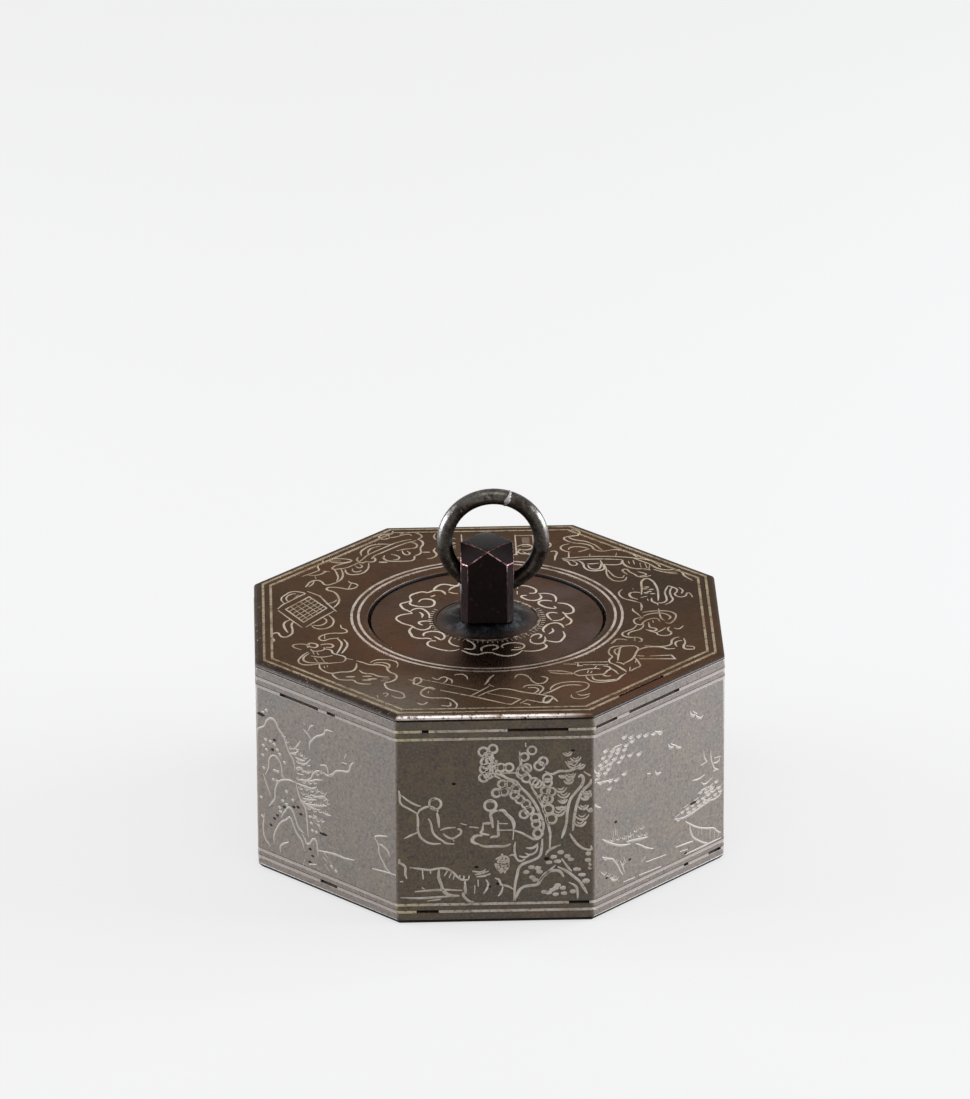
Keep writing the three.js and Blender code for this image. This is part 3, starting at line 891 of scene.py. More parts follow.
# %% The emblems
TOP_EMBLEMS = {
    "inlay_board": """
L 240,560 277,595 300,655 327,715; L 320,708 285,752 232,825; L 222,828 186,765 150,698
L 148,688 165,655 235,575; CL 245,600 297,687 226,788 173,690
L 231,618 283,702; L 217,636 269,717; L 202,654 254,745; L 188,672 240,767
L 254,614 184,706; L 263,632 195,722; L 272,648 204,740; L 281,663 213,757; L 289,675 220,772
170,650 160,615 175,580 195,560 220,565 232,575 220,590 205,605; 185,640 175,610 190,580 205,575
212,585 198,615; 185,768 168,790 170,835 178,862
197,780 190,800 192,850 188,875 165,895 153,880 147,863 133,868 130,900 136,915 128,935
303,740 315,770 316,795 305,825 280,840 258,830 250,812; 285,755 295,775 290,800 270,815 255,810
318,685 333,650 335,615 322,570 312,560 300,550 303,535 315,532 345,540 362,548 385,540 395,522
380,503 370,502; 365,545 375,505; 300,655 322,640 328,625; 395,522 388,510 372,500 366,488""",
    "inlay_gourd": """
337,813 340,835 352,848 355,865 345,872 315,872 290,880 272,900 275,920 285,925 300,915 330,908
345,920 355,950 350,985 337,1020; 288,885 288,915; 325,910 338,945 333,985 322,1022
215,988 195,970 192,955 205,948 228,950 238,958 235,975; C 240,945 262,950 265,965 255,975
240,975 232,960; 275,955 300,950 312,960 308,975 290,975; 245,985 250,998 270,1000 285,990 285,975
237,1005 218,1035 208,1080 225,1098 262,1096; 240,1015 222,1050 228,1075 250,1085 295,1085
285,985 305,995 312,1020 330,1032 345,1045 348,1065 340,1085; 262,1095 300,1090 340,1083
245,1035 275,1045 310,1035; 250,1000 255,1025; 262,1005 268,1030; 255,1050 265,1080
275,1050 285,1080; 270,1095 270,1120 282,1145 305,1162 330,1155 365,1150 378,1125 380,1095
370,1068 352,1058; F 283,1110 285,1125; F 292,1105 294,1118
305,1162 312,1185 328,1208 350,1213 368,1215 378,1232 400,1243 422,1243
380,1075 400,1090 420,1105 450,1108 468,1120 472,1145 478,1160 495,1180 497,1205 485,1225 462,1238
460,1238 462,1255 470,1280 490,1295 510,1310 518,1335 515,1345 495,1345 480,1330
455,1315 465,1310 468,1325 460,1335; F 437,1325 440,1345
388,1145 400,1165 425,1172 445,1190 475,1198; F 450,1222 470,1225; F 455,1210 478,1210
D 360,1190 410,1188 408,1215 425,1208; 420,1092 435,1075 460,1070 490,1080 503,1100 500,1130
480,1165; 430,1098 445,1092 465,1095 478,1110 475,1135 472,1145""",
    "inlay_scrolls": """
L 573,1218 740,1305; L 555,1255 605,1290; L 625,1297 720,1345 815,1400
L 765,1325 860,1370 832,1405 818,1402; L 735,1350 815,1400; 715,1340 745,1305 770,1275
735,1345 765,1315 800,1293; 800,1293 830,1298 865,1318 920,1340 955,1355; L 858,1400 880,1375 925,1398
C 558,1205 570,1215 562,1245 550,1250 548,1235; 532,1218 545,1225 550,1235
C 938,1355 948,1352 955,1360 945,1385 930,1395 928,1380; 955,1358 962,1372 970,1392
925,1398 940,1400 950,1385; 868,1402 880,1405 888,1415
610,1288 595,1275 580,1285 568,1305 570,1330 590,1348 630,1352 650,1358 665,1380 672,1405 665,1430
590,1305 588,1318; 652,1385 650,1408 625,1405; 555,1385 570,1395 585,1380
603,1205 620,1220 632,1205 645,1205 645,1230 635,1245; 652,1212 662,1230 660,1250
F 670,1190 690,1185 705,1200 708,1225; 787,1195 775,1215 765,1245 757,1262; 770,1262 785,1280
848,1222 852,1205 862,1195 880,1200 892,1220 900,1245 915,1262 930,1260 943,1240 943,1220 928,1212
922,1200; 950,1310 955,1290 975,1265 1000,1255 1040,1255 1062,1265 1065,1290 1048,1315 1025,1330
1012,1345 1012,1362 1030,1375 1050,1370 1065,1355
930,1335 950,1322 970,1300 990,1282 1015,1275 1045,1280; 1030,1340 1040,1350 1060,1345 1068,1340
1082,1350; 870,1290 880,1275 905,1272 925,1280 930,1300 920,1325 915,1340
885,1290 905,1290 915,1302 910,1320 895,1335""",
    "inlay_basket_and_flute": """
L 1030,1115 1130,1115; L 1055,1133 1130,1137; L 1040,1118 1040,1140 1055,1140; L 997,1125 1035,1128
L 1258,1078 1322,1075 1332,1102 1225,1098; L 1220,1075 1240,1078
1215,1003 1190,1003 1175,1010 1168,1040 1165,1060 1162,1085 1160,1110
1215,1003 1225,1020 1218,1050 1212,1075 1205,1095 1195,1110 1175,1132
1190,1002 1165,1003 1148,1010 1138,1030 1137,1060 1145,1078 1140,1090 1135,1100 1136,1120 1145,1132
1168,1015 1155,1030 1155,1055 1162,1070; 1145,1130 1160,1150 1175,1175 1183,1188
1155,1118 1168,1125 1178,1138; 1210,1085 1218,1105 1222,1125 1225,1150 1210,1165 1195,1185
1180,1200 1165,1220 1155,1238 1135,1245 1110,1248 1085,1240 1078,1215
1060,1215 1065,1235 1080,1255 1105,1260 1130,1255 1150,1248 1165,1225; 1195,1155 1192,1185
1215,1105 1212,1125; 1025,1190 1040,1175 1065,1165 1095,1162 1105,1165
1025,1195 1040,1210 1065,1208 1095,1205 1115,1200 1125,1180 1135,1165 1130,1150 1115,1145
1110,1200 1115,1212 1125,1218 1135,1215; 1095,1145 1085,1165; 1070,1175 1065,1195
1080,1180 1075,1195; 1135,1160 1148,1180 1158,1205; L 950,1172 990,1175 1022,1190
L 955,1185 990,1195 1025,1197; 1225,1035 1240,1020 1270,1013 1300,1018 1310,1028 1335,1028
1342,1015 1338,990 1345,975 1360,970; 1245,1005 1310,1008 1325,995 1328,970 1340,950 1352,945
1365,955 1368,985 1362,1010 1365,1030 1380,1035 1393,1033; 1370,1010 1392,1018 1393,1033""",
    "inlay_fan": """
1253,628 1257,580 1257,540 1262,520 1275,508 1288,520 1298,550 1304,590 1304,640 1302,675
D 1266,585,10 1272,572,10 1285,590,10 1278,605,10 1268,615,10 1288,622,10
1270,640 1250,650; 1283,655 1283,675 1292,690 1300,698
1338,565 1330,590 1325,620 1328,650 1325,680 1310,692 1300,690
1350,575 1342,600 1342,640 1347,665 1340,685 1322,705
1338,565 1350,575 1362,590 1362,610 1355,625 1362,645 1375,650 1388,640 1395,620 1405,640 1407,655
1370,580 1380,600 1375,625; 1197,585 1187,605 1187,630 1200,655 1225,672 1248,690
1228,580 1232,590; 1250,612 1235,608 1220,615 1218,635 1225,650 1240,662; 1248,690 1250,715 1247,745
1270,660 1272,675; 1298,695 1300,710; 1222,730 1222,742 1235,770 1245,795
1250,760 1275,752 1300,750 1330,755 1348,775 1348,805 1338,830 1330,842 1315,838
1250,790 1265,775 1280,768 1310,768 1325,780 1333,800 1325,815; 1300,735 1302,780 1305,805 1315,825
1245,795 1225,808 1222,830 1232,848 1243,848 1250,832 1262,815 1290,806 1300,830
1250,795 1238,815; 1278,820 1280,838; 1265,835 1266,855 1268,870 1285,880 1283,895 1262,890
1262,870; 1255,885 1270,900 1285,910 1290,925 1320,930 1330,910 1322,895 1322,878 1327,870
1315,875 1300,895 1290,905; 1340,878 1352,885 1362,875 1368,862
1228,855 1215,880 1195,895 1183,910 1183,925 1195,938 1210,942 1225,942 1238,955 1237,970 1228,973
1195,960 1175,952 1162,955 1155,970 1145,985; 1250,850 1245,870 1235,885 1210,900 1200,915 1202,930
1218,945 1218,970""",
    "inlay_leaf_fan": """
1060,125 1078,135 1085,150 1082,168 1065,175 1045,180 1035,190 1042,210 1055,222 1070,230
1050,185 1062,200 1080,210 1100,218 1115,232; 1050,235 1030,245 1022,262 1030,285 1050,298
1075,298 1095,285 1110,275; 1060,230 1090,235 1115,252 1128,285 1150,295 1165,292
1115,232 1130,250 1142,275 1150,290; 1045,280 1050,265 1065,258 1090,262 1105,272
1045,300 1043,340 1040,345; 1165,292 1185,285 1205,290 1225,305 1240,320 1252,345
1022,345 1060,340 1100,335 1150,335 1200,340 1240,350 1280,365 1300,380 1312,400 1322,425
1025,350 1050,360 1090,355 1150,355 1205,362; T 1110,315 1108,335 1192,310 1188,335
1025,355 1040,370 1048,395 1058,400 1068,390 1055,365
1070,360 1085,385 1090,420 1105,440 1130,442 1145,435 1150,420 1145,395 1140,365
1098,390 1115,390 1135,385; 1100,400 1108,425 1130,430 1138,415 1140,390
1150,395 1175,400 1200,395 1205,370; 1208,365 1210,395 1225,420 1245,432 1270,435 1290,445
1320,455 1345,470 1372,478
T 1225,375 1228,395 1240,370 1243,400 1260,390 1262,425 1275,390 1280,430 1290,400 1285,440
1240,350 1265,375 1290,400 1310,430 1335,445 1370,445 1385,465 1390,490 1405,515 1415,530
1300,440 1330,460 1370,465; 1150,395 1155,430 1155,470 1165,505 1180,522 1205,520 1215,495
1218,475 1207,455 1205,440 1215,435 1225,455 1240,475 1250,492 1265,495 1290,485
1160,440 1170,470 1180,490 1200,498 1208,480; 1250,455 1265,465 1275,478 1255,490""",
    "inlay_sceptre_spray": """
510,115 505,130 480,140 467,155 470,170 485,175 500,165 510,162 525,155 545,142 560,140 567,155
567,180; 490,140 500,160; 530,140 550,128 570,127 590,140 598,160 585,180
565,180 540,190 510,210 480,240 450,270 425,300 410,330 400,345
580,190 560,200 530,222 500,250 470,280 450,300 440,325
585,180 597,195 600,220 592,245 590,290 575,305 565,340 545,345 520,345 490,340 477,320 480,300
500,290 515,300 525,315 520,330 505,335; 560,200 575,210 582,230 575,245 560,250 540,255 520,265
510,285; 535,265 540,290 550,298 558,285 550,270; D 607,280 475,350
500,215 470,212 440,222 420,245 408,270 410,300; 470,225 445,240 432,260 430,290
400,310 395,325 402,345 415,350 425,340; 440,310 450,320 445,345 425,345; 385,370 400,352 415,355
430,355 430,380 425,405 410,430 390,440 370,438 360,420 358,400; 380,395 382,415 395,420 408,410
402,360 410,380 400,390 390,375; 310,320 340,318 370,325 378,335 365,345 340,350 310,340
310,335 345,335; 375,345 345,360 325,375 320,395 340,395 365,385 385,365
290,330 290,345 275,360 275,385 278,400 260,420 235,440 225,448; 290,410 310,415
245,440 270,440 290,425 300,410; 265,450 268,470
345,395 350,430 348,460 335,490 315,508 300,515 290,505 285,490 270,478 250,490 240,515 235,528
325,400 332,430 335,465 330,490; 262,485 255,510 245,525""",
    "inlay_tablets": """
L 885,160 885,310 720,310 720,150; L 885,165 940,165 940,300; 745,300 758,250 752,195
755,250 785,215; 755,265 735,240; 800,300 806,245 798,200; 804,245 835,220; 804,262 780,240
850,300 852,262 845,230; 700,215 670,200 655,225 680,245 700,235; 680,245 665,275 690,295
885,250 915,235 935,250 920,275 890,268; 905,290 925,310 960,300 975,280
T 905,185 928,185 905,200 928,200 905,215 928,215 905,232 928,232 905,248 928,248
900,270 890,290 905,305 930,300; 990,290 1005,290 1003,330 1000,360; 640,140 635,160 640,185
637,250 632,270 640,300 625,325 610,330; 700,180 672,170 660,200 680,225 700,215
700,250 670,262 668,300 690,330 715,320; 950,230 975,215 992,235 980,262 955,258""",
}

TOP_STROKE = 0.235
for name, text in TOP_EMBLEMS.items():
    lay_wire(
        name, read_sketch(text), top_to_mm, level(TOP_SURFACE), "box", TOP_SILVER,
        width=TOP_STROKE,
    )

# %% [markdown]
# ## The collar of scrolls on the lid
#
# A ring of cloud scrolls lies round the foot of the post, with a thin circle inside it, and short
# ticks stand round the circle near the edge of the lid.

# %% The lid collar
COLLAR = """
624,556 628,538 638,520 650,510 666,510 686,520 698,518 704,500; 670,556 682,534 704,520
670,566 682,576 698,580; 550,598 556,584 570,572 590,562 606,568 622,556 646,556 656,570 660,586
658,606; 550,598 554,626 550,650 566,666 590,674 614,672 624,654 620,626 602,616 586,620 576,638
614,598 622,594 628,588; 550,630 538,638 522,650 524,670 530,686 544,702 556,720
550,706 564,688 582,686 596,702 606,730 606,758; 578,714 586,730 584,754
556,722 534,726 514,738 506,758 514,778 530,798 550,812 566,834 586,844 602,834 610,810
610,780 586,780 574,788 578,802 586,810; 556,818 544,846 548,874 556,896 578,906 598,906 610,914
626,922; 586,890 586,874 598,860 618,856 638,866 648,886 646,910 638,918 628,906 618,894
622,926 606,926 596,942 600,962 618,978 638,992 670,1000 690,990; 670,902 662,930 670,954 690,970
698,998 722,1022 746,1030 766,1018 786,1018; 714,922 730,942 738,970 730,990 706,986
758,1006 758,982 778,966 800,966 806,982 790,998; 788,1018 806,1034 830,1044 856,1036 880,1006
822,986 818,970 834,954 862,950 882,962 884,982 870,998 846,1000; 856,986 874,982
906,922 906,946 922,960 942,954 950,934 950,910; 942,954 952,978 942,998 914,1012 882,1010
906,914 918,894 934,890 938,910 930,922; 950,934 970,946 990,948 1002,930 1010,902 1006,874
1010,846 1002,822 990,810 970,814 954,834 946,858 950,878; 974,850 976,870 962,890
1014,830 1030,814 1034,790 1022,766 1018,750 1010,734; 976,790 966,766 964,742 978,732 994,738
990,754; 978,794 1002,788 1014,770; 1010,730 1018,742 1038,738 1044,718 1038,690 1022,670 998,662
982,648 962,642 946,646 940,662 950,682 970,698 990,700 986,686
992,654 994,626 986,602 966,590 942,590; 946,598 950,618 938,638 918,640 898,626 890,606 906,602
918,606; 914,586 930,586 936,566 922,542 902,530 882,532 880,550; 878,570 878,594
704,500 722,484 748,484 762,500 758,520 742,528 728,520; 762,500 780,486 806,484 820,500 816,522
800,530 788,520; 820,500 842,490 866,498 880,520 880,532"""
COLLAR_STROKE = 0.27
TICK_REACH = (165, 177)
TICK_DEGREES = range(-206, 27, 5)
ticks = []
for turn in TICK_DEGREES:
    outwards = Vector((math.cos(math.radians(turn)), -math.sin(math.radians(turn))))
    middle = Vector((TOP_MIDDLE, LID_MIDDLE))
    ticks.append(("FL", [tuple(middle + outwards * reach) for reach in TICK_REACH]))
lay_wire(
    "inlay_collar", read_sketch(COLLAR) + ticks, lid_to_mm, level(LID_SURFACE), "lid",
    COLLAR_SILVER, width=COLLAR_STROKE,
)

# %% [markdown]
# ## The landscape on the front
#
# Two seated figures with plain round heads face each other under a leaning tree with ring-shaped
# leaves and a pine. Rocks, a shore with grass and some water lie below them.

# %% The front wall
FIGURES = """
R 300,660,38; B 270,640 285,625 300,622; 185,730 205,700 230,685 260,678 290,688 320,712
312,720 318,760 322,800 325,825; 185,730 190,780 190,850 205,890 240,925 280,940 335,940
255,760 270,790 285,860 310,895 345,920 360,935 420,945; 330,845 370,832 430,828
350,870 370,890 405,905 440,890 465,860 455,842 440,838; 405,905 420,925
45,560 75,595 80,650 140,695 185,725; 85,595 130,635 180,665 210,675
190,855 140,880 100,900; 40,915 70,920; R 652,678,37; B 630,655 652,645 675,655
B 700,715 670,720 655,735 660,780 668,835; B 704,714 733,714 756,743 788,775 801,808 801,847
B 600,805 640,802 655,802; 605,805 600,850 590,867 620,880 645,885
650,905 665,899 700,892 700,860 700,782; 700,804 762,808; 697,853 801,853
B 600,888 560,890 540,905 535,925 550,940 580,950; B 575,950 610,965 680,965 750,965 780,950
795,920 800,855; 801,855 850,875 900,905 930,920 960,915 980,900; 460,800 500,812
515,825 575,833; 811,938 805,970 808,1022 821,1061 840,1074 873,1061; 772,1035 795,1029 808,1042"""
RING_TREE = """
B 983,892 990,814 970,749 944,684 918,639 879,587 847,555 814,509 762,490 723,464 662,451
B 1029,996 1032,879 1016,801 996,723 970,652 938,594 912,548
B 983,918 977,996 964,1042 912,1074 860,1094 834,1120 821,1171 808,1236 801,1353
662,451 684,470 717,490; 714,451 814,451; 850,496 824,470 824,438 847,399 844,353 840,301
R 869,340 860,438,35 886,418 882,490 964,405,30 990,373 918,295 720,412 772,412 730,529 775,532
R 814,561 691,590 740,580 808,606 840,639 879,671 866,743 899,717 938,769 944,814 954,879,28
R 951,529 931,516 1016,525 1016,490 1003,580 1041,587 990,632 1022,639 1022,710,32 1041,779,32
R 610,300,30 640,330,26 670,280,28 620,370,26 650,400,30 615,420,28 640,460,26 610,480,28
879,240 879,269; 880,980 905,985 935,975 955,950; 870,1015 900,1030 940,1010 955,965
835,1038 870,1048 900,1035; F 600,330 670,330; F 605,350 665,345; F 610,320 660,310"""
PINE = """
B 1106,918 1119,879 1136,814 1145,717 1165,639 1197,594 1236,542 1243,490 1230,477 1214,490
B 1178,866 1184,801 1197,710 1217,639 1249,574 1288,535 1334,503
1158,886 1184,931 1223,977 1262,999 1301,999 1340,973; 1003,1035 1016,1009 1055,983 1100,964
1145,912; 1003,444 1042,464 1094,444 1152,444 1210,418 1249,399; 1249,451 1288,477 1327,477
1347,457; N 1145,327,60 1197,366,70 1158,386,60 1184,412,90 1223,418,70 1165,477,65 1158,496,65
N 1152,522,65 1113,483,50 1119,619,80 1100,580,80 1113,658,60 1094,704,50 1119,704,50
N 1087,743,90 1269,600,60 1275,619,70 1256,639,60 1243,704,70 1295,723,60 1236,775,90
N 1223,821,80 1308,577,45"""
ROCKS = """
B 801,1353 814,1321 853,1262 905,1249 951,1240 970,1210 1003,1165 1055,1145 1094,1152 1119,1191
1152,1230 1197,1262 1207,1301 1207,1347; 951,1230 990,1184 1022,1152 1068,1106
B 1081,1119 1139,1152 1184,1191 1223,1230 1249,1275 1269,1314; 1106,1061 1152,1132 1171,1152
D 1100,1016,27 1055,1048,27 1080,1080,32 1142,1045,27 1165,1068,27 1025,1087,27 912,1119,27
D 954,1126,27 964,1152,27
D 879,1152,27 918,1191,27 938,1210,27 1204,1139,32 1236,1178,32 1262,1223,32 1178,1295,27
D 1080,1249,27
D 1068,1269,27 1113,1269,27 1048,1282,27 1120,1308,27 996,1295,27 1022,1301,27 1068,1314,27
D 1279,1029,27 1275,1074,27
D 1298,1103,27 1295,1132,27"""
SHORE = """
135,1105 190,1115 270,1125 320,1115 370,1120 410,1145 440,1180 465,1198 510,1200
T 215,1125 220,1190 265,1125 268,1150 375,1135 355,1170 400,1145 385,1185 420,1160 412,1195
B 320,1120 320,1180 335,1230 345,1265 360,1290 400,1310 450,1312
T 455,1165 450,1195 480,1170 478,1200 515,1170 510,1195 550,1240 548,1300 570,1200 572,1250
B 485,1200 488,1260 488,1290 475,1300 490,1330 510,1350 540,1358
535,1140 600,1145 620,1125; 550,1165 600,1155 640,1140; 560,1180 610,1175 650,1160
620,1200 635,1230 625,1270 605,1300; 678,1191 704,1204 717,1236 760,1250 800,1275
730,1250 720,1290 700,1320; 684,1060 720,1040 762,1050 756,1090 700,1085
B 690,1100 740,1080 762,1110 720,1140 690,1120; B 700,1060 730,1070; B 720,1110 745,1105
20,1045 50,1070 85,1080 105,1105 105,1150 115,1185; 50,1205 90,1205; 0,1160 30,1180 55,1180
165,1278 250,1272 330,1268 470,1275; 50,1318 200,1325 300,1320 450,1312; 210,1250 230,1262
245,1345 330,1335"""


def clump(left, top, right, bottom, step=19):
    """A round patch of leaves punched close together."""
    chance = random.Random(left + top)
    spots = []
    for x in range(left, right, step):
        for y in range(top, bottom, step):
            across_patch = (2 * x - left - right) / (right - left)
            down_patch = (2 * y - top - bottom) / (bottom - top)
            if across_patch ** 2 + down_patch ** 2 < 1.1:
                place = (x + chance.uniform(-5, 5), y + chance.uniform(-5, 5))
                spots.append(("D", dot_points(*place, 11)))
    return spots


def draw_on_wall(face, pictures):
    """One piece for each picture: its name, its strokes, and how far they are shifted."""
    for name, strokes in pictures.items():
        lay_wire(name, strokes, wall_to_mm, wall_plane(face), "box", WALL_SILVER)


def on_wall(text, **shift):
    """A sketch in wall units, kept just clear of the sides of the wall."""
    first, last, shortest = 70, 1294, 12
    kept = []
    for flags, points in shifted(read_sketch(text), **shift):
        if all(first < x < last for x, y in points):
            kept.append((flags, points))
        else:
            inside = [(min(max(x, first), last), y) for x, y in points]
            width = max(x for x, y in inside) - min(x for x, y in inside)
            if width > shortest and "C" not in flags:
                kept.append((flags, inside))
    return kept


draw_on_wall(0, {
    "inlay_front_figures": on_wall(FIGURES),
    "inlay_front_ring_tree": on_wall(RING_TREE),
    "inlay_front_clumps": clump(612, 345, 704, 460) + clump(684, 1035, 766, 1152),
    "inlay_front_pine": on_wall(PINE),
    "inlay_front_rocks": on_wall(ROCKS),
    "inlay_front_shore": on_wall(SHORE),
})

# %% [markdown]
# ## The walls beside the front
#
# On the left stand pitted garden rocks with reeds and a bare twig over water. On the right,
# leaves hang in from the corner, birds fly over a lake, and a bank with shrubs rises behind it.

# %% The left wall
LEFT_ROCKS = """
35,562 70,520 126,479 154,430 203,402 238,423 259,458 301,493 329,555 350,597 388,639 399,709
406,779 423,842 448,898 490,947 503,1010 507,1073 514,1143
133,821 161,765 175,688 217,660 259,681 280,723 287,779 308,797; 112,821 133,870 150,905 182,961
399,793 350,793 301,807 259,828 231,870 217,919 217,961 189,1003 161,1038
203,1297 203,1234 231,1171 273,1115 315,1087 350,1059 378,1101 413,1157 455,1192 476,1255
476,1318 462,1381; 266,1087 308,1024 343,989 378,1010 399,1052 434,1115 476,1129
259,1339 259,1297 287,1269 336,1241; 119,1101 108,1171 105,1234 126,1290 168,1321
455,1136 483,1171 503,1199 573,1143 594,1199 601,1255; 517,1340 587,1318
D 150,360 119,381 140,570 182,570 217,580 245,611 266,636 119,618 147,639 112,688 308,681
D 245,765 217,765 119,779 203,835 238,835 322,884 378,926 287,961 322,975 259,1017 266,1045
D 98,1129 91,996 531,996 580,982 608,1031 545,1038 587,1087 552,1087 720,1290 760,1310"""
LEFT_REEDS = """
350,569 420,549; 357,597 392,590 434,562; 406,611 448,618 490,611; 420,639 483,639 545,583
413,688 448,674 490,688 545,674; 420,723 476,716; 441,758 490,751 545,737 587,716 647,699
503,744 545,716 559,688 594,653 629,639; 413,793 483,793 559,786 594,765; 580,821 608,779
538,835 594,835 657,814 699,828; 657,814 689,769; 490,863 559,856; 469,884 524,877 594,856
503,912 559,905 615,891 685,870; 448,898 503,919 559,926 622,919; 643,926 685,933 720,926
559,968 601,989; 629,597 685,590 699,618 699,639; 650,640 700,650 740,620
U 300,505,26 330,535,26 365,570,26 395,600,26 420,560 455,590 490,600 430,650 470,650 520,640
U 425,700 470,700 515,695 560,680 600,680 640,655 430,770 480,775 530,765 575,750 450,830
U 500,820 550,815 600,800 640,800 470,860 520,855 570,850 620,840 660,840 480,905 530,900
U 590,900 640,880 690,860 520,950 570,950 620,940 670,935 560,1000 600,1010 640,1000
T 560,1010 590,1030 600,1020 630,1045 610,1050 640,1075 640,1240 680,1270 650,1210 690,1240
T 700,1260 740,1300 660,1290 700,1330"""
LEFT_TWIG = """
538,514 538,472 559,444 594,409 643,381 671,360 678,339 748,325; 559,444 517,409 476,388
524,388 552,346 573,335; 483,342 503,353; 671,311 678,360; 406,542 434,514 455,479
700,646 728,639 770,597 826,577 882,562 903,514 931,482; 822,517 868,514; 847,479 868,444"""
LEFT_BANK = """
601,1213 760,1192 840,1192 924,1178; 1085,1185 1203,1171 1294,1164; 1106,951 1148,933 1224,912
1106,954 1141,996 1148,1052 1183,1108 1210,1143 1252,1164; 1148,989 1190,996 1231,1024 1238,1052"""
PIT_MARKS = {
    7: """D 100,402,44 217,549 199,622 385,972 423,961 301,1000 448,1003 234,1080 206,1111
D 175,1167 650,1080,44 528,1227 549,1269 524,1321""",
    1: "D 402,1195 185,1248 269,881 1012,1007,40 939,1340",
    0: "D 700,1230 560,1110 1010,1060,22 640,1250 420,520 1180,300",
}

draw_on_wall(7, {
    "inlay_left_rocks": on_wall(LEFT_ROCKS),
    "inlay_left_reeds": on_wall(LEFT_REEDS),
    "inlay_left_twig": on_wall(LEFT_TWIG),
    "inlay_left_bank": on_wall(LEFT_BANK),
})

# %% The right wall
HANGING_LEAVES = """
62,437 70,455 90,478 120,484; 62,542 82,528 117,521; B 62,688 80,705 124,730
N 172,350,54 237,373,54 293,378,54 367,375,54 423,366,54 348,313,54 414,335,54 488,353,54
N 553,369,54 627,383,54 692,402,48 125,432,54 181,423,54 256,435,54 330,446,54 404,457,54
N 488,479,54 107,495,54 172,503,54 200,485,54 125,557,54 218,575,54 274,587,54 348,570,54 209,627,48
N 150,390,48 215,400,48 285,400,48 350,400,48 140,460,48 220,455,48 300,470,48 90,520,48
160,540 240,362 330,355; 100,470 180,455 280,440; 90,545 150,560 240,570"""
BIRDS = """
B 975,345 990,375 1015,385 1030,365; B 1030,390 1050,410 1080,425 1105,410; B 1000,350 1045,385
B 765,500 780,530 805,540 820,530; B 835,540 860,560 890,570; B 790,510 850,545
B 640,370 665,385 700,390; 565,645 600,655; B 640,650 660,680 700,680"""
RIGHT_BANKS = """
140,961 189,996 245,1031 308,1063 406,1087; T 231,930 231,960 245,940 247,985 262,925 264,975
T 278,935 280,989 364,1010 366,1050 385,1020 388,1080 410,1005 412,1070 435,1015 438,1090
U 181,999,30 237,1011,34 293,1023,34 348,1035,34 404,1040,34 460,1024,34 516,1023,34 497,1072,34
U 553,1084,30 172,1121,30 274,1177,30 339,1213,30 163,1222,30 200,1249,30 246,1278,30 274,1300,30
B 370,1060 430,1070 500,1085 570,1095; 455,1101 503,1129 552,1164 629,1199
140,1087 189,1115 238,1136 266,1171 287,1199 308,1241 336,1283; 126,1185 161,1227
210,1255 245,1290 287,1297; 308,1171 329,1213 350,1269; 343,1157 357,1199; 510,1255 552,1227
615,1213; 560,1270 750,1285; 490,1340 700,1352; 340,1335 450,1340; 840,1265 950,1275 1010,1280
880,1310 960,1320; 930,1350 1100,1352 1280,1350"""
FAR_BANK = """
932,1111 967,1139 1050,1195 1148,1237 1210,1258 1245,1293 1280,1314
974,1146 987,1209 1015,1258 1050,1286 1113,1328 1160,1350
T 1057,1223 1057,1258 1092,1223 1092,1258 1172,1251 1172,1320 1214,1265 1214,1334
T 1255,1300 1255,1334; 830,1060 880,1075 950,1080 1040,1070 1150,1050 1250,1045 1280,1030
T 940,1062 945,1090 960,1060 962,1088 980,1060 980,1088 1000,1062 1000,1088 1018,1062 1016,1086
1090,1010 1150,1040 1200,1050"""
SHRUBS = """
1175,686 1179,742 1196,798 1217,833 1252,853; 1106,679 1120,728 1141,756; 1078,763 1148,756
1203,791 1252,791 1266,756; 1210,756 1273,763; 1001,843 1050,853 1120,843
1085,881 1113,909 1196,888; 1050,958 1106,944 1196,951; 1162,965 1189,993 1252,972
1203,847 1252,847
T 832,1049 880,1040 917,1009 962,1002 1018,994 1062,986 1150,1030 1192,1030 1161,946 1202,934
N 870,1076,50 906,1037,42 956,1029,42 970,1061,50 1006,1022,50 1020,1054,42 1057,1014,42
N 1070,1046,50 1107,1006,50 1120,1038,42 1080,956,42 1157,998,50 1140,974,50 1131,948,42
N 1222,1022,42 1190,966,50 1258,982,50 1272,1014,42 1232,932,42"""

draw_on_wall(1, {
    "inlay_right_leaves": on_wall(HANGING_LEAVES),
    "inlay_right_birds": on_wall(BIRDS),
    "inlay_right_banks": on_wall(RIGHT_BANKS),
    "inlay_right_far_bank": on_wall(FAR_BANK),
    "inlay_right_shrubs": on_wall(SHRUBS),
})

# %% [markdown]
# ## The five walls at the back
#
# The photograph doesn't show them. A box like this has one landscape all the way round, so they
# are composed from the same trees, rocks, reeds and banks, mirrored and moved. Age has left small
# black pits in every wall; those of the three walls that are shown are laid in their places.

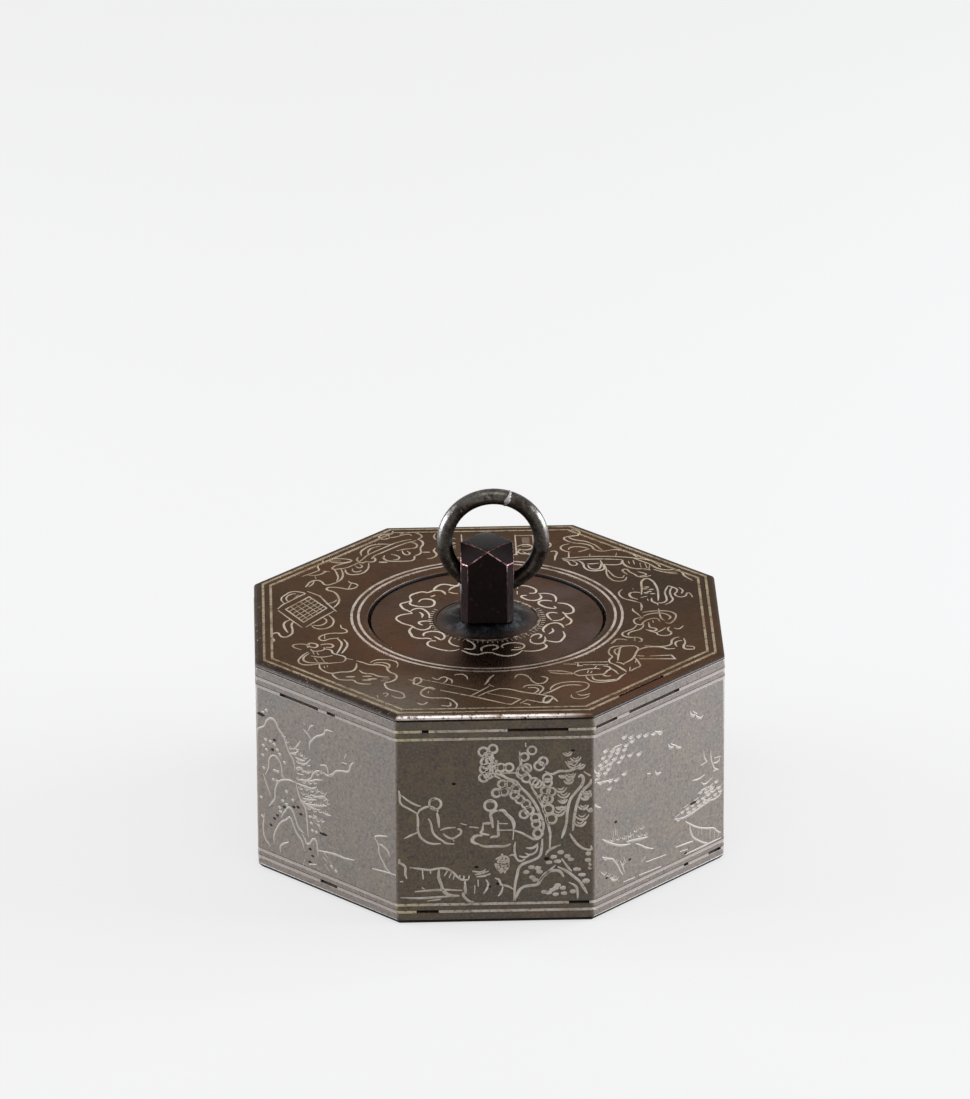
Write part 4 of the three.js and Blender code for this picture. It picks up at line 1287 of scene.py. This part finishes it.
# %% The walls at the back
draw_on_wall(2, {
    "inlay_wall_2_pine": on_wall(PINE, dx=-780),
    "inlay_wall_2_banks": on_wall(RIGHT_BANKS, mirror=680),
    "inlay_wall_2_birds": on_wall(BIRDS, dx=60, dy=120),
})
draw_on_wall(3, {
    "inlay_wall_3_ring_tree": on_wall(RING_TREE, mirror=680, dx=-180),
    "inlay_wall_3_rocks": on_wall(ROCKS, mirror=680, dx=-170),
    "inlay_wall_3_shore": on_wall(SHORE, mirror=680),
})
draw_on_wall(4, {
    "inlay_wall_4_rocks": on_wall(LEFT_ROCKS, mirror=680),
    "inlay_wall_4_reeds": on_wall(LEFT_REEDS, mirror=680),
    "inlay_wall_4_twig": on_wall(LEFT_TWIG, mirror=680),
    "inlay_wall_4_birds": on_wall(BIRDS, dx=-420, dy=60),
})
draw_on_wall(5, {
    "inlay_wall_5_far_bank": on_wall(FAR_BANK, mirror=680),
    "inlay_wall_5_shrubs": on_wall(SHRUBS, mirror=680),
    "inlay_wall_5_pine": on_wall(PINE),
    "inlay_wall_5_rocks": on_wall(ROCKS),
})
draw_on_wall(6, {
    "inlay_wall_6_leaves": on_wall(HANGING_LEAVES, mirror=680),
    "inlay_wall_6_banks": on_wall(RIGHT_BANKS, dx=40),
    "inlay_wall_6_bank": on_wall(LEFT_BANK, dx=-60, dy=-60),
    "inlay_wall_6_birds": on_wall(BIRDS, mirror=680, dy=40),
})

# %% Dark pits in the walls
PIT_WIDTH = 0.235
for face, text in PIT_MARKS.items():
    lay_wire(
        f"pits_wall_{face}", read_sketch(text), wall_to_mm, wall_plane(face), "box", GRIME_AND_SHADE,
        slot="black_bronze", width=PIT_WIDTH,
    )

# %% [markdown]
# ## The studio
#
# A white floor that stays white for the camera and in reflections, with the soft shadow that the
# lamps give. Two softboxes stand low at the sides, which is why the side walls are pale in the
# photograph and the front wall is dark.

# %% Floor


def camera_or_reflection(tree):
    """1 for camera, glossy and transmission rays, 0 for the rays that only carry light."""
    path = tree.nodes.new("ShaderNodeLightPath")
    total = path.outputs["Is Camera Ray"]
    for label in ("Is Glossy Ray", "Is Transmission Ray"):
        join = add(tree, "ShaderNodeMath", operation="MAXIMUM")
        tree.links.new(total, join.inputs[0])
        tree.links.new(path.outputs[label], join.inputs[1])
        total = join.outputs[0]
    return total


def make_floor():
    bpy.ops.mesh.primitive_circle_add(vertices=64, radius=4, fill_type="NGON", location=(0, 0, 0))
    floor = bpy.context.active_object
    floor.name = "floor"
    material = bpy.data.materials.new("white paper")
    material.use_nodes = True
    tree = material.node_tree
    shader = tree.nodes["Principled BSDF"]
    shader.inputs["Base Color"].default_value = (*FLOOR_TONE, 1)
    shader.inputs["Roughness"].default_value = 1
    shader.inputs["Specular IOR Level"].default_value = 0
    shader.inputs["Emission Color"].default_value = (1, 1, 1, 1)
    glow = add(tree, "ShaderNodeMath", operation="MULTIPLY")
    glow.inputs[1].default_value = FLOOR_GLOW
    tree.links.new(camera_or_reflection(tree), glow.inputs[0])
    tree.links.new(glow.outputs[0], shader.inputs["Emission Strength"])
    give(floor, material)
    print("floor radius in mm:", round(floor.dimensions.x / 2 / MM))


FLOOR_TONE = (0.147, 0.143, 0.138)
FLOOR_GLOW = 0.655
make_floor()

# %% World and lamps


def make_world():
    world = bpy.data.worlds.new("studio")
    bpy.context.scene.world = world
    world.use_nodes = True
    tree = world.node_tree
    background = tree.nodes["Background"]
    background.inputs["Color"].default_value = (1, 1, 1, 1)
    strength = ramp(tree, camera_or_reflection(tree), 0, 1, WORLD_FILL, WORLD_SHOWN)
    tree.links.new(strength, background.inputs["Strength"])


def add_softbox(name, place, size, radiance, tint=(1, 1, 1)):
    """A square area lamp that points at the box; radiance 1 looks as bright as white paper."""
    data = bpy.data.lights.new(name, "AREA")
    data.shape = "RECTANGLE"
    data.size, data.size_y = size
    data.energy = radiance * math.pi * size[0] * size[1]
    data.color = tint
    lamp = bpy.data.objects.new(name, data)
    bpy.context.collection.objects.link(lamp)
    lamp.location = place
    towards = Vector((0, 0, 0.02)) - Vector(place)
    lamp.rotation_euler = towards.to_track_quat("-Z", "Y").to_euler()
    print(name, "at", place)


WORLD_FILL = 0.7
WORLD_SHOWN = 0.89
COOL = (0.92, 0.99, 1.12)
make_world()
add_softbox("left softbox", (-0.45, 0.06, 0.07), (0.4, 0.13), 36, COOL)
add_softbox("right softbox", (0.45, 0.06, 0.07), (0.4, 0.13), 49, COOL)
add_softbox("top softbox", (0.0, -0.15, 0.6), (0.4, 0.3), 3)
bpy.context.scene.view_settings.view_transform = "Standard"
